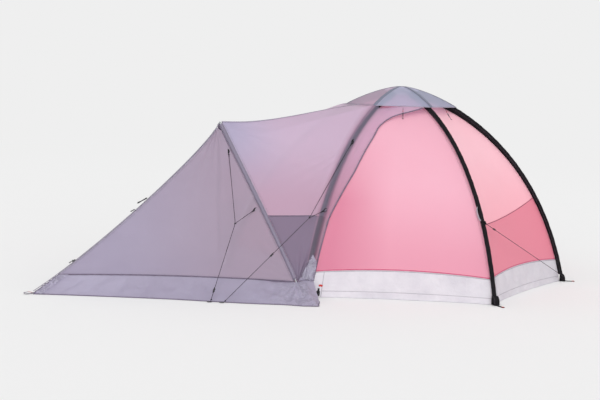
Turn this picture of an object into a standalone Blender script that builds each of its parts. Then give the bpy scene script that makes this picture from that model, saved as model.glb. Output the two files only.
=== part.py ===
# Mountaineering dome tent with a hooped vestibule, pitched.
# Metres, +Z up. The origin is on the ground under the crossing of the three poles.
# The vestibule points along -X and the foot end along +X. Left is -Y.
import math

import bmesh
import bpy
from mathutils import Matrix, Vector

# Dome frame
floor_radius = 1.100          # centre of the floor to each pole foot
crown_height = 1.208          # middle pole's axis where the poles cross
foot_handle_in = 0.2065       # how far a pole's curve leans in above its foot
foot_handle_up = 0.980        # how high that lean reaches
crown_handle = 0.154          # how long a pole stays level beside the crown
pole_diameter = 0.0096
tip_height = 0.012            # pole tip above the ground, inside its socket
corner_turns_deg = (210, 270, 330, 30, 90, 150)
corner_names = ("front_left", "left", "rear_left", "rear_right", "right", "front_right")
facet_names = ("left_front", "left_rear", "rear", "right_rear", "right_front", "front")

# Cloth
cloth = 0.002
seam_gap = 0.0003
seam_space = 0.0005           # between two sewn edges that lean differently
edge_gap = 0.0016             # from a corner line to a canopy panel's edge
canopy_clearance = 0.0017      # from a pole sleeve to the canopy
canopy_sag = 0.030            # how far a panel draws in between two poles
sag_shares = (1, 1, 1, 1, 1, 0)
crown_hole_radius = 0.034
crown_patch_radius = 0.046

# Pole sleeves
sleeve_radius = 0.013
sleeve_wall = 0.0025
sleeve_foot_height = 0.062
sleeve_end_radius = 0.105     # from the crown's axis

# Floor tub
tub_corner_height = 0.150
tub_rise = 0.022              # extra height of the tub's top seam between corners
floor_thickness = 0.0015

# Foot-end liner, inside the three rear panels
liner_low_height = 0.448
liner_high_height = 0.550
liner_gap = 0.0053

# Inner door, in the front panel
door_low_height = 0.235
door_high_height = 0.860
door_side_share = 0.20
door_gap = 0.0018
door_slider_length = 0.030
door_slider_width = 0.012
door_slider_thickness = 0.005
door_slider_height = 0.300
door_slider_lift = 0.0015      # clear of the bowed cloth

# Corner webbing with the pole sockets
gusset_inner_clearance = 0.0006
gusset_reach = 0.020
gusset_height = 0.055
gusset_width = 0.046
gusset_shoulder = 0.040
gusset_nose_height = 0.014
socket_clearance = 0.0004
socket_overrun = 0.080
strap_length = 0.062
strap_width = 0.014
strap_thickness = 0.0024

# Vestibule hoop
hoop_top_reach = 1.280        # hoop top in front of the crown's axis
hoop_top_height = 0.988
hoop_foot_ahead = 0.0344        # foot in front of the dome's front corner
hoop_foot_aside = 0.042         # foot outside it
hoop_upper_handle = (0.190, 0.308)    # outward and down from the top
hoop_lower_handle = (0.010, 0.135)    # inward and up from the foot
hoop_diameter = 0.0096
hoop_cup_diameter = 0.024
hoop_sleeve_radius = 0.0125
hoop_sleeve_wall = 0.0045
hoop_sleeve_start = 0.023
hoop_sleeve_foot = 0.140
elbow_diameter = 0.0142
elbow_leg = 0.055
elbow_bend = 0.016

# Line that the vestibule door swings about, beside the right hoop leg
door_axis_height = 0.300
door_axis_top_shift = (0.0207, 0.0188, 0.0183)
door_axis_low_shift = (-0.0098, 0.0242, 0.0128)

# Vestibule cloth
cover_standoff = 0.0205       # cover's middle above a pole's axis
cap_standoff = 0.0175         # the same over the crown
cap_edge_standoff = 0.0161
cap_radius = 0.350            # crown's axis to the cap's hem, along a pole
cap_space = 0.004
cap_fan_shares = (0.5, 0.75)  # where the first roof rows meet the cap
ridge_dip = 0.027
dip_peak_share = 4 / 27        # highest value of share * (1 - share) ** 2
ridge_half_gap = 0.0018
side_sag_turn_deg = 75
lap_over_pole = ((0.015, 0.014), (0.026, -0.006))
lap_middle_lift = 0.0085
lap_hem_lift = 0.0060
lap_widths = ((0.0, 0.030), (0.46, 0.042), (0.72, 0.098), (1.20, 0.112))    # at heights
cover_foot_height = 0.096
lower_panel_height = 0.455
ridge_zip_handle_top = (1.306, 0.876)
ridge_zip_handle_tip = (1.998, 0.257)
tip_reach = 2.400
tip_height_zip = 0.012
zip_width = 0.010
zip_thickness = 0.003
zip_start_share = 0.033
seam_height = 0.104
seam_arch = 0.020             # how far the skirt's seam rises between the tip and the hoop
front_sag = 0.022
front_start_share = 0.090
# The skirt's hem on the ground: share of the way from the hoop's foot to the tip, share of the half width
skirt_hem_shares = ((0.9986, 0.0203), (0.8783, 0.1672), (0.6702, 0.4392), (0.5004, 0.6757), (0.3815, 0.8682),
                    (0.2428, 1.0811), (0.1267, 1.2331), (0.0587, 1.3514), (0.0135, 1.3953))
skirt_heel_shares = (-0.0368, 1.1824)
skirt_corner_share = 0.34     # how much of the hem behind the hoop's foot turns the corner
skirt_corner_way = (-0.2, -1.0, 0.0)
fold_depth = 0.006
fold_length = 0.120

# Small fittings
tip_loop_length = 0.050
tip_loop_width = 0.012
tip_loop_gap = 0.0012
tip_loop_thickness = 0.0135
zip_slider_length = 0.026
zip_slider_width = 0.012
zip_slider_height = 0.006
zip_slider_lift = 0.0009
zip_travel_shares = (0.82, 0.62)
toggle_lengths = (0.070, 0.030)
toggle_diameters = (0.010, 0.008)
toggle_heights = (0.530, 0.464)
toggle_turn_deg = 14          # how far a toggle stands off the ridge
buckle_length = 0.030
buckle_width = 0.020
buckle_thickness = 0.006
buckle_offset = 0.070
buckle_height = 0.024
buckle_lift = 0.0037
cap_hook_length = 0.024
cap_hook_diameter = 0.006
cord_diameter = 0.003
tensioner_length = 0.022
tensioner_diameter = 0.011

# Guy lines: places chosen by hand
guy_a_route = ((-1.2582, -0.1006, 0.8027), (-1.317, -0.354, 0.417), (-1.532, -0.526, 0.004))
guy_a_branch = ((-1.1784, -0.3055, 0.4837), (-1.3137, -0.3528, 0.4186))
guy_b_route = ((-0.5541, -0.3391, 0.8831), (-0.5938, -0.3599, 0.8418), (-0.6679, -0.3963, 0.7577),
               (-0.7371, -0.4240, 0.6718), (-0.917, -0.512, 0.459), (-1.470, -0.569, 0.004))
guy_b_branch = ((-0.8084, -0.4798, 0.4930), (-0.9111, -0.5103, 0.4608))
guy_c_route = ((0.0106, -0.9550, 0.4565), (0.9527, -0.5765, 0.0278))
guy_a_tensioner_share = 0.86
guy_b_tensioner_share = 0.45
guy_c_tensioner_share = 0.10
cord_points = 14

# Shape resolution
cloth_rows = 12
roof_rows = 11
side_rows = 7
cloth_columns = 7
tube_sides = 8
front_rows = 12
skirt_rows = 4
skirt_front_columns = 8
sleeve_stations = 14
pole_stations = 18


def clear_scene():
    for thing in list(bpy.data.objects):
        bpy.data.objects.remove(thing, do_unlink=True)


def finish(name, color, roughness, metallic=0.0):
    existing = bpy.data.materials.get(name)
    if existing:
        return existing
    made = bpy.data.materials.new(name)
    made.use_nodes = True
    shader = made.node_tree.nodes["Principled BSDF"]
    shader.inputs["Base Color"].default_value = (*color, 1)
    shader.inputs["Roughness"].default_value = roughness
    shader.inputs["Metallic"].default_value = metallic
    return made


def pink_cloth():
    return finish("pink_cloth", (0.93, 0.42, 0.50), 0.6)


def lilac_cloth():
    return finish("lilac_cloth", (0.47, 0.43, 0.52), 0.6)


def dark_lilac_cloth():
    return finish("dark_lilac_cloth", (0.27, 0.23, 0.30), 0.6)


def pale_cloth():
    return finish("pale_cloth", (0.66, 0.64, 0.68), 0.5)


def black_webbing():
    return finish("black_webbing", (0.02, 0.02, 0.022), 0.7)


def black_plastic():
    return finish("black_plastic", (0.03, 0.03, 0.03), 0.4)


def pole_alloy():
    return finish("pole_alloy", (0.55, 0.56, 0.58), 0.3, 1.0)


def dark_cord():
    return finish("dark_cord", (0.06, 0.06, 0.07), 0.8)


def add_object(name, shape, material, smooth=True):
    mesh = bpy.data.meshes.new(name)
    bmesh.ops.recalc_face_normals(shape, faces=shape.faces)
    shape.to_mesh(mesh)
    shape.free()
    mesh.materials.append(material)
    if smooth:
        mesh.shade_smooth()
        mesh.set_sharp_from_angle(angle=math.radians(40))
    made = bpy.data.objects.new(name, mesh)
    bpy.context.scene.collection.objects.link(made)
    return made


def set_origin(thing, place):
    thing.data.transform(Matrix.Translation(-Vector(place)))
    thing.location = place


def above_ground(point):
    return Vector((point.x, point.y, max(point.z, 0)))


# Curves

def bezier(handles, share):
    rest = 1 - share
    weights = (rest ** 3, 3 * rest * rest * share, 3 * rest * share * share, share ** 3)
    return sum((weight * handle for weight, handle in zip(weights, handles)), Vector((0, 0, 0)))


def bezier_slope(handles, share):
    rest = 1 - share
    weights = (rest * rest, 2 * rest * share, share * share)
    steps = [second - first for first, second in zip(handles, handles[1:])]
    return sum((weight * step for weight, step in zip(weights, steps)), Vector((0, 0, 0))).normalized()


def share_where(measure, target, low=0.0, high=1.0):
    rising = measure(high) > measure(low)
    for _ in range(40):
        middle = (low + high) / 2
        if (measure(middle) < target) == rising:
            low = middle
        else:
            high = middle
    return (low + high) / 2


pole_step = pole_diameter + seam_gap


# The three poles cross one above another: rise is a pole's height over the middle one.
def crossing_rise(corner):
    return (corner % 3 - 1) * pole_step


def pole_handles(rise=0.0):
    top = crown_height + rise
    return (Vector((floor_radius, 0, 0)), Vector((floor_radius - foot_handle_in, 0, foot_handle_up)),
            Vector((crown_handle, 0, top)), Vector((0, 0, top)))


def corner_direction(corner):
    turn = math.radians(corner_turns_deg[corner % 6])
    return Vector((math.cos(turn), math.sin(turn), 0))


def facet_direction(facet):
    return (corner_direction(facet) + corner_direction(facet + 1)).normalized()


def pole_point(corner, share, lift=0.0, rise=0.0):
    handles = pole_handles(rise)
    flat = bezier(handles, share)
    slope = bezier_slope(handles, share)
    flat += lift * Vector((slope.z, 0, -slope.x))
    return flat.x * corner_direction(corner) + Vector((0, 0, flat.z))


def share_at_height(height):
    return share_where(lambda share: bezier(pole_handles(), share).z, height)


def share_at_radius(radius):
    return share_where(lambda share: bezier(pole_handles(), share).x, radius)


canopy_seat = sleeve_radius + canopy_clearance + cloth / 2


def sheet_sag(facet, across, share):
    depth = canopy_sag * sag_shares[facet] * (1 - share * share)
    return depth * bow(across)


def canopy_point(facet, across, share, lift=0.0):
    near = pole_point(facet, share, lift - canopy_seat, -pole_step)
    far = pole_point(facet + 1, share, lift - canopy_seat, -pole_step)
    return near.lerp(far, across) - sheet_sag(facet, across, share) * facet_direction(facet)


# 0 at both ends and 1 halfway
def bow(share):
    return 4 * share * (1 - share)


def spread(count, low=0.0, high=1.0):
    return [low + (high - low) * step / (count - 1) for step in range(count)]


# Solids from grids, tubes and blocks

def grid_normals(grid, closed):
    rows = len(grid)
    columns = len(grid[0])
    normals = []
    for row in range(rows):
        line = []
        for column in range(columns):
            up = grid[min(row + 1, rows - 1)][column] - grid[max(row - 1, 0)][column]
            if closed:
                along = grid[row][(column + 1) % columns] - grid[row][column - 1]
            else:
                along = grid[row][min(column + 1, columns - 1)] - grid[row][max(column - 1, 0)]
            line.append(along.cross(up).normalized())
        normals.append(line)
    return normals


# A cloth of even thickness whose middle runs through a grid of points.
# keep says which cells are cloth, so that a sheet can have an opening.
def sheet(name, grid, material, thickness=cloth, closed=False, keep=None):
    normals = grid_normals(grid, closed)
    rows = len(grid)
    columns = len(grid[0])
    shape = bmesh.new()
    sides = []
    for sign in (1, -1):
        side = []
        for row in range(rows):
            line = []
            for column in range(columns):
                offset = sign * thickness / 2 * normals[row][column]
                line.append(shape.verts.new(above_ground(grid[row][column] + offset)))
            side.append(line)
        sides.append(side)
    cells = set()
    for row in range(rows - 1):
        for column in range(columns if closed else columns - 1):
            if keep is None or keep(row, column):
                cells.add((row, column))

    def corners(row, column):
        after = (column + 1) % columns
        return [(row, column), (row, after), (row + 1, after), (row + 1, column)]

    edge_uses = {}
    for cell in sorted(cells):
        loop = corners(*cell)
        places = [grid[row][column] for row, column in loop]
        if (places[2] - places[0]).length > (places[3] - places[1]).length:
            loop = loop[1:] + loop[:1]
        for half in (loop[:3], loop[2:] + loop[:1]):
            shape.faces.new([sides[0][row][column] for row, column in half])
            shape.faces.new([sides[1][row][column] for row, column in half[::-1]])
        for first, second in zip(loop, loop[1:] + loop[:1]):
            edge_uses.setdefault(frozenset((first, second)), []).append((first, second))
    for uses in edge_uses.values():
        if len(uses) == 1:
            first, second = uses[0]
            rim = [sides[0][first[0]][first[1]], sides[1][first[0]][first[1]],
                   sides[1][second[0]][second[1]], sides[0][second[0]][second[1]]]
            shape.faces.new(rim)
    loose = [vert for vert in shape.verts if not vert.link_faces]
    bmesh.ops.delete(shape, geom=loose, context="VERTS")
    return add_object(name, shape, material)


def path_frames(path, side):
    frames = []
    for index, point in enumerate(path):
        ahead = path[min(index + 1, len(path) - 1)]
        behind = path[max(index - 1, 0)]
        along = (ahead - behind).normalized()
        across = (side - side.dot(along) * along).normalized()
        frames.append((point, across, along.cross(across)))
    return frames


def ring_at(shape, frame, radius, sides):
    point, across, up = frame
    verts = []
    for step in range(sides):
        turn = math.tau * (step + 0.5) / sides
        verts.append(shape.verts.new(point + radius * (math.cos(turn) * across + math.sin(turn) * up)))
    return verts


def join_rings(shape, rings):
    count = len(rings[0])
    for first, second in zip(rings, rings[1:]):
        for step in range(count):
            after = (step + 1) % count
            shape.faces.new((first[step], first[after], second[after], second[step]))


def rod(name, path, diameter, material, side, sides=tube_sides):
    shape = bmesh.new()
    rings = [ring_at(shape, frame, diameter / 2, sides) for frame in path_frames(path, side)]
    join_rings(shape, rings)
    shape.faces.new(rings[0][::-1])
    shape.faces.new(rings[-1])
    return add_object(name, shape, material)


def hose(name, path, radius, bore, material, side, sides=tube_sides):
    shape = bmesh.new()
    frames = path_frames(path, side)
    outer = [ring_at(shape, frame, radius, sides) for frame in frames]
    inner = [ring_at(shape, frame, bore, sides) for frame in frames]
    join_rings(shape, outer)
    join_rings(shape, inner)
    join_rings(shape, [outer[0], inner[0]])
    join_rings(shape, [outer[-1], inner[-1]])
    return add_object(name, shape, material)


# A block with a length, width and height along three directions, standing on its base point.
def block(name, base, along, across, sizes, material):
    along = along.normalized()
    across = (across - across.dot(along) * along).normalized()
    up = along.cross(across)
    length, width, height = sizes
    shape = bmesh.new()
    bmesh.ops.create_cube(shape, size=1)
    for vert in shape.verts:
        share = vert.co.copy()
        vert.co = (base + share.x * length * along + share.y * width * across
                   + (share.z + 0.5) * height * up)
    return add_object(name, shape, material, smooth=False)


# Dome poles and their sleeves

def dome_pole(index):
    rise = crossing_rise(index)
    low = share_at_height(tip_height)
    shares = [low] + spread(pole_stations - 1, share_at_height(socket_overrun), 1.0)
    first = [pole_point(index, share, rise=rise) for share in shares]
    second = [pole_point(index + 3, share, rise=rise) for share in shares[:-1]]
    side = corner_direction(index).cross(Vector((0, 0, 1)))
    name = "dome_pole_" + corner_names[index] + "_to_" + corner_names[index + 3]
    rod(name, first + second[::-1], pole_diameter, pole_alloy(), side)


def pole_sleeve(corner):
    shares = spread(sleeve_stations, share_at_height(sleeve_foot_height), share_at_radius(sleeve_end_radius))
    path = [pole_point(corner, share, rise=crossing_rise(corner)) for share in shares]
    side = corner_direction(corner).cross(Vector((0, 0, 1)))
    hose("pole_sleeve_" + corner_names[corner], path, sleeve_radius, sleeve_radius - sleeve_wall,
         black_webbing(), side)


# Canopy panels, tub, floor and liner

def tub_top_share(across):
    return share_at_height(tub_corner_height + tub_rise * bow(across))


def facet_columns(facet):
    if facet < 5:
        return spread(cloth_columns)
    beside = [0.0, door_side_share / 2] + spread(5, door_side_share, 1 - door_side_share)
    return beside + [1 - door_side_share / 2, 1.0]


def panel_grid(facet, rows, top_share, foot_shift=0.0, lift=0.0):
    grid = [[] for _ in range(rows)]
    for across in facet_columns(facet):
        foot_share = share_at_height(bezier(pole_handles(), tub_top_share(across)).z + foot_shift)
        for row, share in enumerate(spread(rows, foot_share, top_share)):
            trim = edge_gap / bezier(pole_handles(), share).x
            trimmed = trim + (1 - 2 * trim) * across
            grid[row].append(canopy_point(facet, trimmed, share, lift))
    return grid


def canopy_panel(facet):
    grid = panel_grid(facet, cloth_rows, share_at_radius(crown_hole_radius), seam_space)
    sheet("canopy_panel_" + facet_names[facet], grid, pink_cloth())


def front_shares():
    top_share = share_at_radius(crown_hole_radius)
    low_share = share_at_height(door_low_height)
    high_share = share_at_height(door_high_height)
    foot_share = share_at_height(tub_corner_height)
    below = [foot_share]
    beside = spread(7, low_share, high_share)
    above = spread(5, high_share, top_share)[1:]
    return below + beside + above


def front_panel():
    facet = 5
    acrosses = facet_columns(facet)
    grid = []
    for share in front_shares():
        trim = edge_gap / bezier(pole_handles(), share).x
        line = [canopy_point(facet, trim + (1 - 2 * trim) * across, share) for across in acrosses]
        grid.append(line)
    tub_tops = []
    for across in acrosses:
        trimmed = share_at_height(bezier(pole_handles(), tub_top_share(across)).z + seam_space)
        trim = edge_gap / bezier(pole_handles(), trimmed).x
        tub_tops.append(canopy_point(facet, trim + (1 - 2 * trim) * across, trimmed))
    grid[0] = tub_tops
    sheet("canopy_panel_front", grid, pink_cloth(),
          keep=lambda row, column: not (1 <= row < 7 and 2 <= column < 6))


def door_edge(side, share):
    chord = bezier(pole_handles(), share).x
    return side + (0.5 - side) * 2 * door_gap / chord / (1 - 2 * door_side_share)


def inner_door():
    facet = 5
    low_share = share_at_height(door_low_height + door_gap)
    high_share = share_at_height(door_high_height - door_gap)
    grid = []
    for share in spread(8, low_share, high_share):
        low = door_edge(door_side_share, share)
        grid.append([canopy_point(facet, across, share) for across in spread(5, low, 1 - low)])
    flap = sheet("inner_door", grid, pink_cloth())
    set_origin(flap, (grid[0][0] + grid[0][-1]) / 2)


def inner_door_slider():
    facet = 5
    share = share_at_height(door_slider_height)
    across = door_side_share - door_slider_width / bezier(pole_handles(), share).x
    seat = cloth / 2 + door_slider_lift
    place = canopy_point(facet, across, share, seat)
    ahead = canopy_point(facet, across, share_at_height(door_slider_height + door_slider_length), seat)
    along = ahead - place
    outward = canopy_point(facet, across, share, seat + cloth) - place
    made = block("inner_door_slider", place, along, outward.cross(along),
                 (door_slider_length, door_slider_width, door_slider_thickness), black_plastic())
    set_origin(made, place)


def tub_wall():
    grid = [[] for _ in range(4)]
    for facet in range(6):
        for across in facet_columns(facet)[:-1]:
            top = tub_top_share(across)
            for row, share in enumerate(spread(4, 0.0, top)):
                grid[row].append(above_ground(canopy_point(facet, across, share)))
    sheet("tub_wall", grid, pale_cloth(), closed=True)


def ground_outline(inset):
    outline = []
    for facet in range(6):
        for across in facet_columns(facet)[:-1]:
            point = above_ground(canopy_point(facet, across, 0.0))
            point.z = 0
            outline.append(point - inset * point.normalized())
    return outline


def floor():
    inset = (cloth / 2 + seam_gap + seam_space) / math.cos(math.pi / 6)
    outline = ground_outline(inset)
    shape = bmesh.new()
    low = [shape.verts.new(point) for point in outline]
    high = [shape.verts.new(point + Vector((0, 0, floor_thickness))) for point in outline]
    shape.faces.new(low[::-1])
    shape.faces.new(high)
    join_rings(shape, [low, high])
    add_object("groundsheet", shape, pale_cloth(), smooth=False)


def foot_end_liner():
    grid = [[] for _ in range(5)]
    lift = -cloth - liner_gap
    for facet in (1, 2, 3):
        columns = spread(6) if facet == 3 else spread(6)[:-1]
        for across in columns:
            if facet == 1:
                top_height = liner_low_height + (liner_high_height - liner_low_height) * across
            elif facet == 2:
                top_height = liner_high_height
            else:
                top_height = liner_high_height + (liner_low_height - liner_high_height) * across
            low = bezier(pole_handles(), tub_top_share(across)).z
            for row, height in enumerate(spread(5, low, top_height)):
                grid[row].append(canopy_point(facet, across, share_at_height(height), lift))
    sheet("foot_end_liner", grid, pink_cloth())


def crown_patch():
    height = canopy_point(0, 0.5, share_at_radius(crown_hole_radius)).z + cloth / 2 + seam_space
    height = max(height, canopy_point(0, 0, share_at_radius(crown_hole_radius)).z + cloth / 2 + seam_gap)
    shape = bmesh.new()
    low = []
    high = []
    for corner in range(6):
        point = crown_patch_radius * corner_direction(corner)
        low.append(shape.verts.new(point + Vector((0, 0, height))))
        high.append(shape.verts.new(point + Vector((0, 0, height + cloth))))
    shape.faces.new(low[::-1])
    shape.faces.new(high)
    join_rings(shape, [low, high])
    add_object("crown_patch", shape, pink_cloth(), smooth=False)


# Corner webbing: a socket for the pole tip and a strap for the stake

def webbing_outline():
    inner = floor_radius - canopy_seat + cloth / 2 + gusset_inner_clearance
    outer = floor_radius + gusset_reach
    strap_end = outer + strap_length
    return inner, outer, strap_end


def socket_cutter(name, path, diameter, side):
    cutter = rod(name, path, diameter, black_webbing(), side, sides=12)
    cutter.hide_render = True
    cutter.display_type = "WIRE"
    return cutter


def cut_from(thing, cutter):
    cut = thing.modifiers.new("socket", "BOOLEAN")
    cut.operation = "DIFFERENCE"
    cut.object = cutter


def corner_webbing(corner):
    inner, outer, strap_end = webbing_outline()
    outward = corner_direction(corner)
    across = Vector((0, 0, 1)).cross(outward)
    profile = [(inner, 0, gusset_width), (strap_end, 0, strap_width),
               (strap_end, strap_thickness, strap_width), (outer, strap_thickness, gusset_width),
               (outer, gusset_nose_height, gusset_width),
               ((inner + outer) / 2, gusset_shoulder, gusset_width),
               ((2 * inner + outer) / 3, gusset_height, gusset_width),
               (inner, gusset_height, gusset_width)]
    if corner in (0, 5):
        profile[1:4] = [(outer, 0, gusset_width)]
    shape = bmesh.new()
    rings = []
    for sign in (-1, 1):
        verts = []
        for reach, height, width in profile:
            point = reach * outward + sign * width / 2 * across + Vector((0, 0, height))
            verts.append(shape.verts.new(point))
        rings.append(verts)
    shape.faces.new(rings[0])
    shape.faces.new(rings[1][::-1])
    join_rings(shape, rings)
    shape.normal_update()
    bmesh.ops.triangulate(shape, faces=shape.faces)
    made = add_object("corner_webbing_" + corner_names[corner], shape, black_webbing(), smooth=False)
    low = pole_point(corner, share_at_height(tip_height))
    ahead = pole_point(corner, share_at_height(socket_overrun))
    along = (ahead - low).normalized()
    bore = pole_diameter + 2 * socket_clearance
    cutter = socket_cutter("socket_" + corner_names[corner], [low - seam_gap * along, ahead], bore, across)
    cut_from(made, cutter)


# Vestibule hoop

def hoop_handles(side):
    top = Vector((-hoop_top_reach, 0, hoop_top_height))
    corner = floor_radius * corner_direction(0)
    foot = Vector((corner.x - hoop_foot_ahead, side * (hoop_foot_aside - corner.y), 0))
    plane_down = Vector((foot.x - top.x, 0, foot.z - top.z)).normalized()
    upper = top + Vector((0, side * hoop_upper_handle[0], 0)) + plane_down * hoop_upper_handle[1]
    lower = foot - Vector((0, side * hoop_lower_handle[0], 0)) - plane_down * hoop_lower_handle[1]
    return (top, upper, lower, foot)


def hoop_point(side, share):
    return bezier(hoop_handles(side), share)


def hoop_share_at_height(height):
    return share_where(lambda share: hoop_point(-1, share).z, height)


def hoop_plane_normal():
    top, upper, _, foot = hoop_handles(-1)
    return (upper - top).cross(foot - top).normalized()


def length_share(side, length):
    def reach(share):
        return (hoop_point(side, share) - hoop_point(side, 0)).length
    return share_where(reach, length)


def hoop_leg(side, label):
    low = hoop_share_at_height(tip_height)
    high = hoop_share_at_height(socket_overrun)
    shares = spread(pole_stations - 1, length_share(side, elbow_leg + seam_gap), high) + [low]
    path = [hoop_point(side, share) for share in shares]
    rod("hoop_leg_" + label, path, hoop_diameter, pole_alloy(), hoop_plane_normal())


def hoop_elbow():
    path = []
    for side in (-1, 1):
        distances = spread(3, elbow_leg, elbow_bend)
        arm = [hoop_point(side, length_share(side, distance)) for distance in distances]
        path += arm if side == -1 else arm[::-1]
    middle = (path[2] + path[3]) / 2
    crest = middle.lerp(hoop_point(-1, 0), 0.5)
    path.insert(3, crest)
    rod("hoop_elbow", path, elbow_diameter, pole_alloy(), hoop_plane_normal())


def hoop_sleeve(side, label):
    low = hoop_share_at_height(hoop_sleeve_foot)
    shares = spread(12, length_share(side, hoop_sleeve_start), low)
    path = [hoop_point(side, share) for share in shares]
    hose("hoop_sleeve_" + label, path, hoop_sleeve_radius, hoop_sleeve_radius - hoop_sleeve_wall,
         lilac_cloth(), hoop_plane_normal())


def hoop_socket(side, label):
    foot = hoop_point(side, 1)
    low = hoop_point(side, hoop_share_at_height(tip_height))
    ahead = hoop_point(side, hoop_share_at_height(socket_overrun))
    path = [Vector((foot.x, foot.y, height)) for height in spread(2, 0.0, gusset_nose_height)]
    cup = rod("hoop_foot_cup_" + label, path, hoop_cup_diameter, black_plastic(), Vector((1, 0, 0)), 12)
    along = (ahead - low).normalized()
    cutter = socket_cutter("hoop_socket_" + label, [low - seam_gap * along, ahead],
                           hoop_diameter + 2 * socket_clearance, Vector((1, 0, 0)))
    cut_from(cup, cutter)


# Vestibule cloth

def cap_point(facet, across, share):
    top_part = 1 - bezier(pole_handles(), share).x / cap_radius
    lift = cap_edge_standoff + (cap_standoff - cap_edge_standoff) * top_part
    near = pole_point(facet, share, lift, pole_step)
    far = pole_point(facet + 1, share, lift, pole_step)
    return near.lerp(far, across)


def cover_cap():
    edge_share = share_at_radius(cap_radius)
    shares = spread(5, edge_share, 1.0)[:-1]
    grid = []
    for share in shares:
        line = []
        for facet in range(6):
            line += [cap_point(facet, across, share) for across in spread(4)[:-1]]
        grid.append(line)
    thickness = cloth
    normals = grid_normals(grid, True)
    shape = bmesh.new()
    for sign in (1, -1):
        rings = []
        for line, normal_line in zip(grid, normals):
            rings.append([shape.verts.new(point + sign * thickness / 2 * normal)
                          for point, normal in zip(line, normal_line)])
        join_rings(shape, rings)
        peak = shape.verts.new(Vector((0, 0, crown_height + pole_step + cap_standoff + sign * thickness / 2)))
        last = rings[-1]
        for step, vert in enumerate(last):
            shape.faces.new((vert, last[(step + 1) % len(last)], peak))
        if sign == 1:
            outer_rim = rings[0]
        else:
            join_rings(shape, [outer_rim, rings[0]])
    add_object("cover_cap", shape, lilac_cloth())


def on_side(point, side):
    return Vector((point.x, -side * point.y, point.z))


# The cover spans from a hoop leg back to a front pole and laps on past it, down on the dome.
def roof_cap_edge(across, share):
    near = pole_point(5, share, cover_standoff, pole_step)
    far = pole_point(0, share, cover_standoff, pole_step)
    return near.lerp(far, across)


def span_line(front, rear, down):
    reach = rear - front
    trim = (hoop_sleeve_radius + seam_gap + cloth / 2) / reach.length
    line = []
    for across in spread(cloth_columns):
        share = trim + (1 - trim) * across
        dip = ridge_dip * share * (1 - share) ** 2 / dip_peak_share * (1 - down)
        turn = math.radians(side_sag_turn_deg) * down
        line.append(front + share * reach + dip * Vector((0, math.sin(turn), -math.cos(turn))))
    return line


def lap_width(height):
    for (low, first), (high, second) in zip(lap_widths, lap_widths[1:]):
        if height <= high:
            return first + (second - first) * (height - low) / (high - low)
    return lap_widths[-1][1]


def lap_line(share):
    chord = bezier(pole_handles(), share).x
    sideways = (corner_direction(1) - corner_direction(0)).normalized()
    points = []
    for offset, lift in lap_over_pole:
        points.append(pole_point(0, share, lift, pole_step) + offset * sideways)
    width = lap_width(bezier(pole_handles(), share).z)
    middle = (lap_over_pole[-1][0] + width) / 2
    points.append(canopy_point(0, middle / chord, share, lap_middle_lift))
    points.append(canopy_point(0, width / chord, share, lap_hem_lift))
    return points


# The first rows fan round the cap's hem, from the ridge to the front pole.
def roof_grid():
    edge_share = share_at_radius(cap_radius + cap_space)
    split_share = share_at_height(lower_panel_height)
    hoop_split = hoop_share_at_height(lower_panel_height)
    fan = len(cap_fan_shares)
    rear_shares = [edge_share] * fan + spread(roof_rows - fan, edge_share, split_share)
    grid = []
    for row, (rear_share, down) in enumerate(zip(rear_shares, spread(roof_rows))):
        if row < len(cap_fan_shares):
            rear = roof_cap_edge(cap_fan_shares[row], edge_share)
        else:
            rear = pole_point(0, rear_share, cover_standoff, pole_step)
        grid.append(span_line(hoop_point(-1, hoop_split * down), rear, down) + lap_line(rear_share))
    for point in grid[0]:
        point.y = min(point.y, -ridge_half_gap)
    return grid


def side_grid():
    grid = []
    for height in spread(side_rows, lower_panel_height, cover_foot_height):
        share = share_at_height(height)
        rear = pole_point(0, share, cover_standoff, pole_step)
        front = hoop_point(-1, hoop_share_at_height(height))
        grid.append(span_line(front, rear, 1) + lap_line(share))
    return grid


def roof_panels(side, label):
    roof = [[on_side(point, side) for point in line] for line in roof_grid()]
    lap_start = cloth_columns
    sheet("cover_roof_" + label, roof, lilac_cloth(),
          keep=lambda row, column: row >= len(cap_fan_shares) or column < lap_start - 1)
    lower = [[on_side(point, side) for point in line] for line in side_grid()]
    lower[0] = [point.lerp(after, 2 * seam_space / (after - point).length)
                for point, after in zip(lower[0], lower[1])]
    sheet("cover_side_" + label, lower, dark_lilac_cloth())


def zip_handles():
    return (Vector((-hoop_top_reach, 0, hoop_top_height)),
            Vector((-ridge_zip_handle_top[0], 0, ridge_zip_handle_top[1])),
            Vector((-ridge_zip_handle_tip[0], 0, ridge_zip_handle_tip[1])),
            Vector((-tip_reach, 0, tip_height_zip)))


def zip_point(share):
    return bezier(zip_handles(), share)


def ridge_outward(share):
    slope = bezier_slope(zip_handles(), share)
    return Vector((slope.z, 0, -slope.x))


def zip_share_at_height(height):
    return share_where(lambda share: zip_point(share).z, height)


def ridge_zip():
    shares = spread(18, zip_start_share, 1.0)
    shape = bmesh.new()
    rings = []
    for share in shares:
        point = zip_point(share)
        across = Vector((0, zip_width / 2, 0))
        rise = zip_thickness / 2 * ridge_outward(share)
        ring = [point + across + rise, point - across + rise, point - across - rise, point + across - rise]
        rings.append([shape.verts.new(above_ground(corner)) for corner in ring])
    join_rings(shape, rings)
    shape.faces.new(rings[0][::-1])
    shape.faces.new(rings[-1])
    add_object("vestibule_zip", shape, black_webbing())


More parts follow.
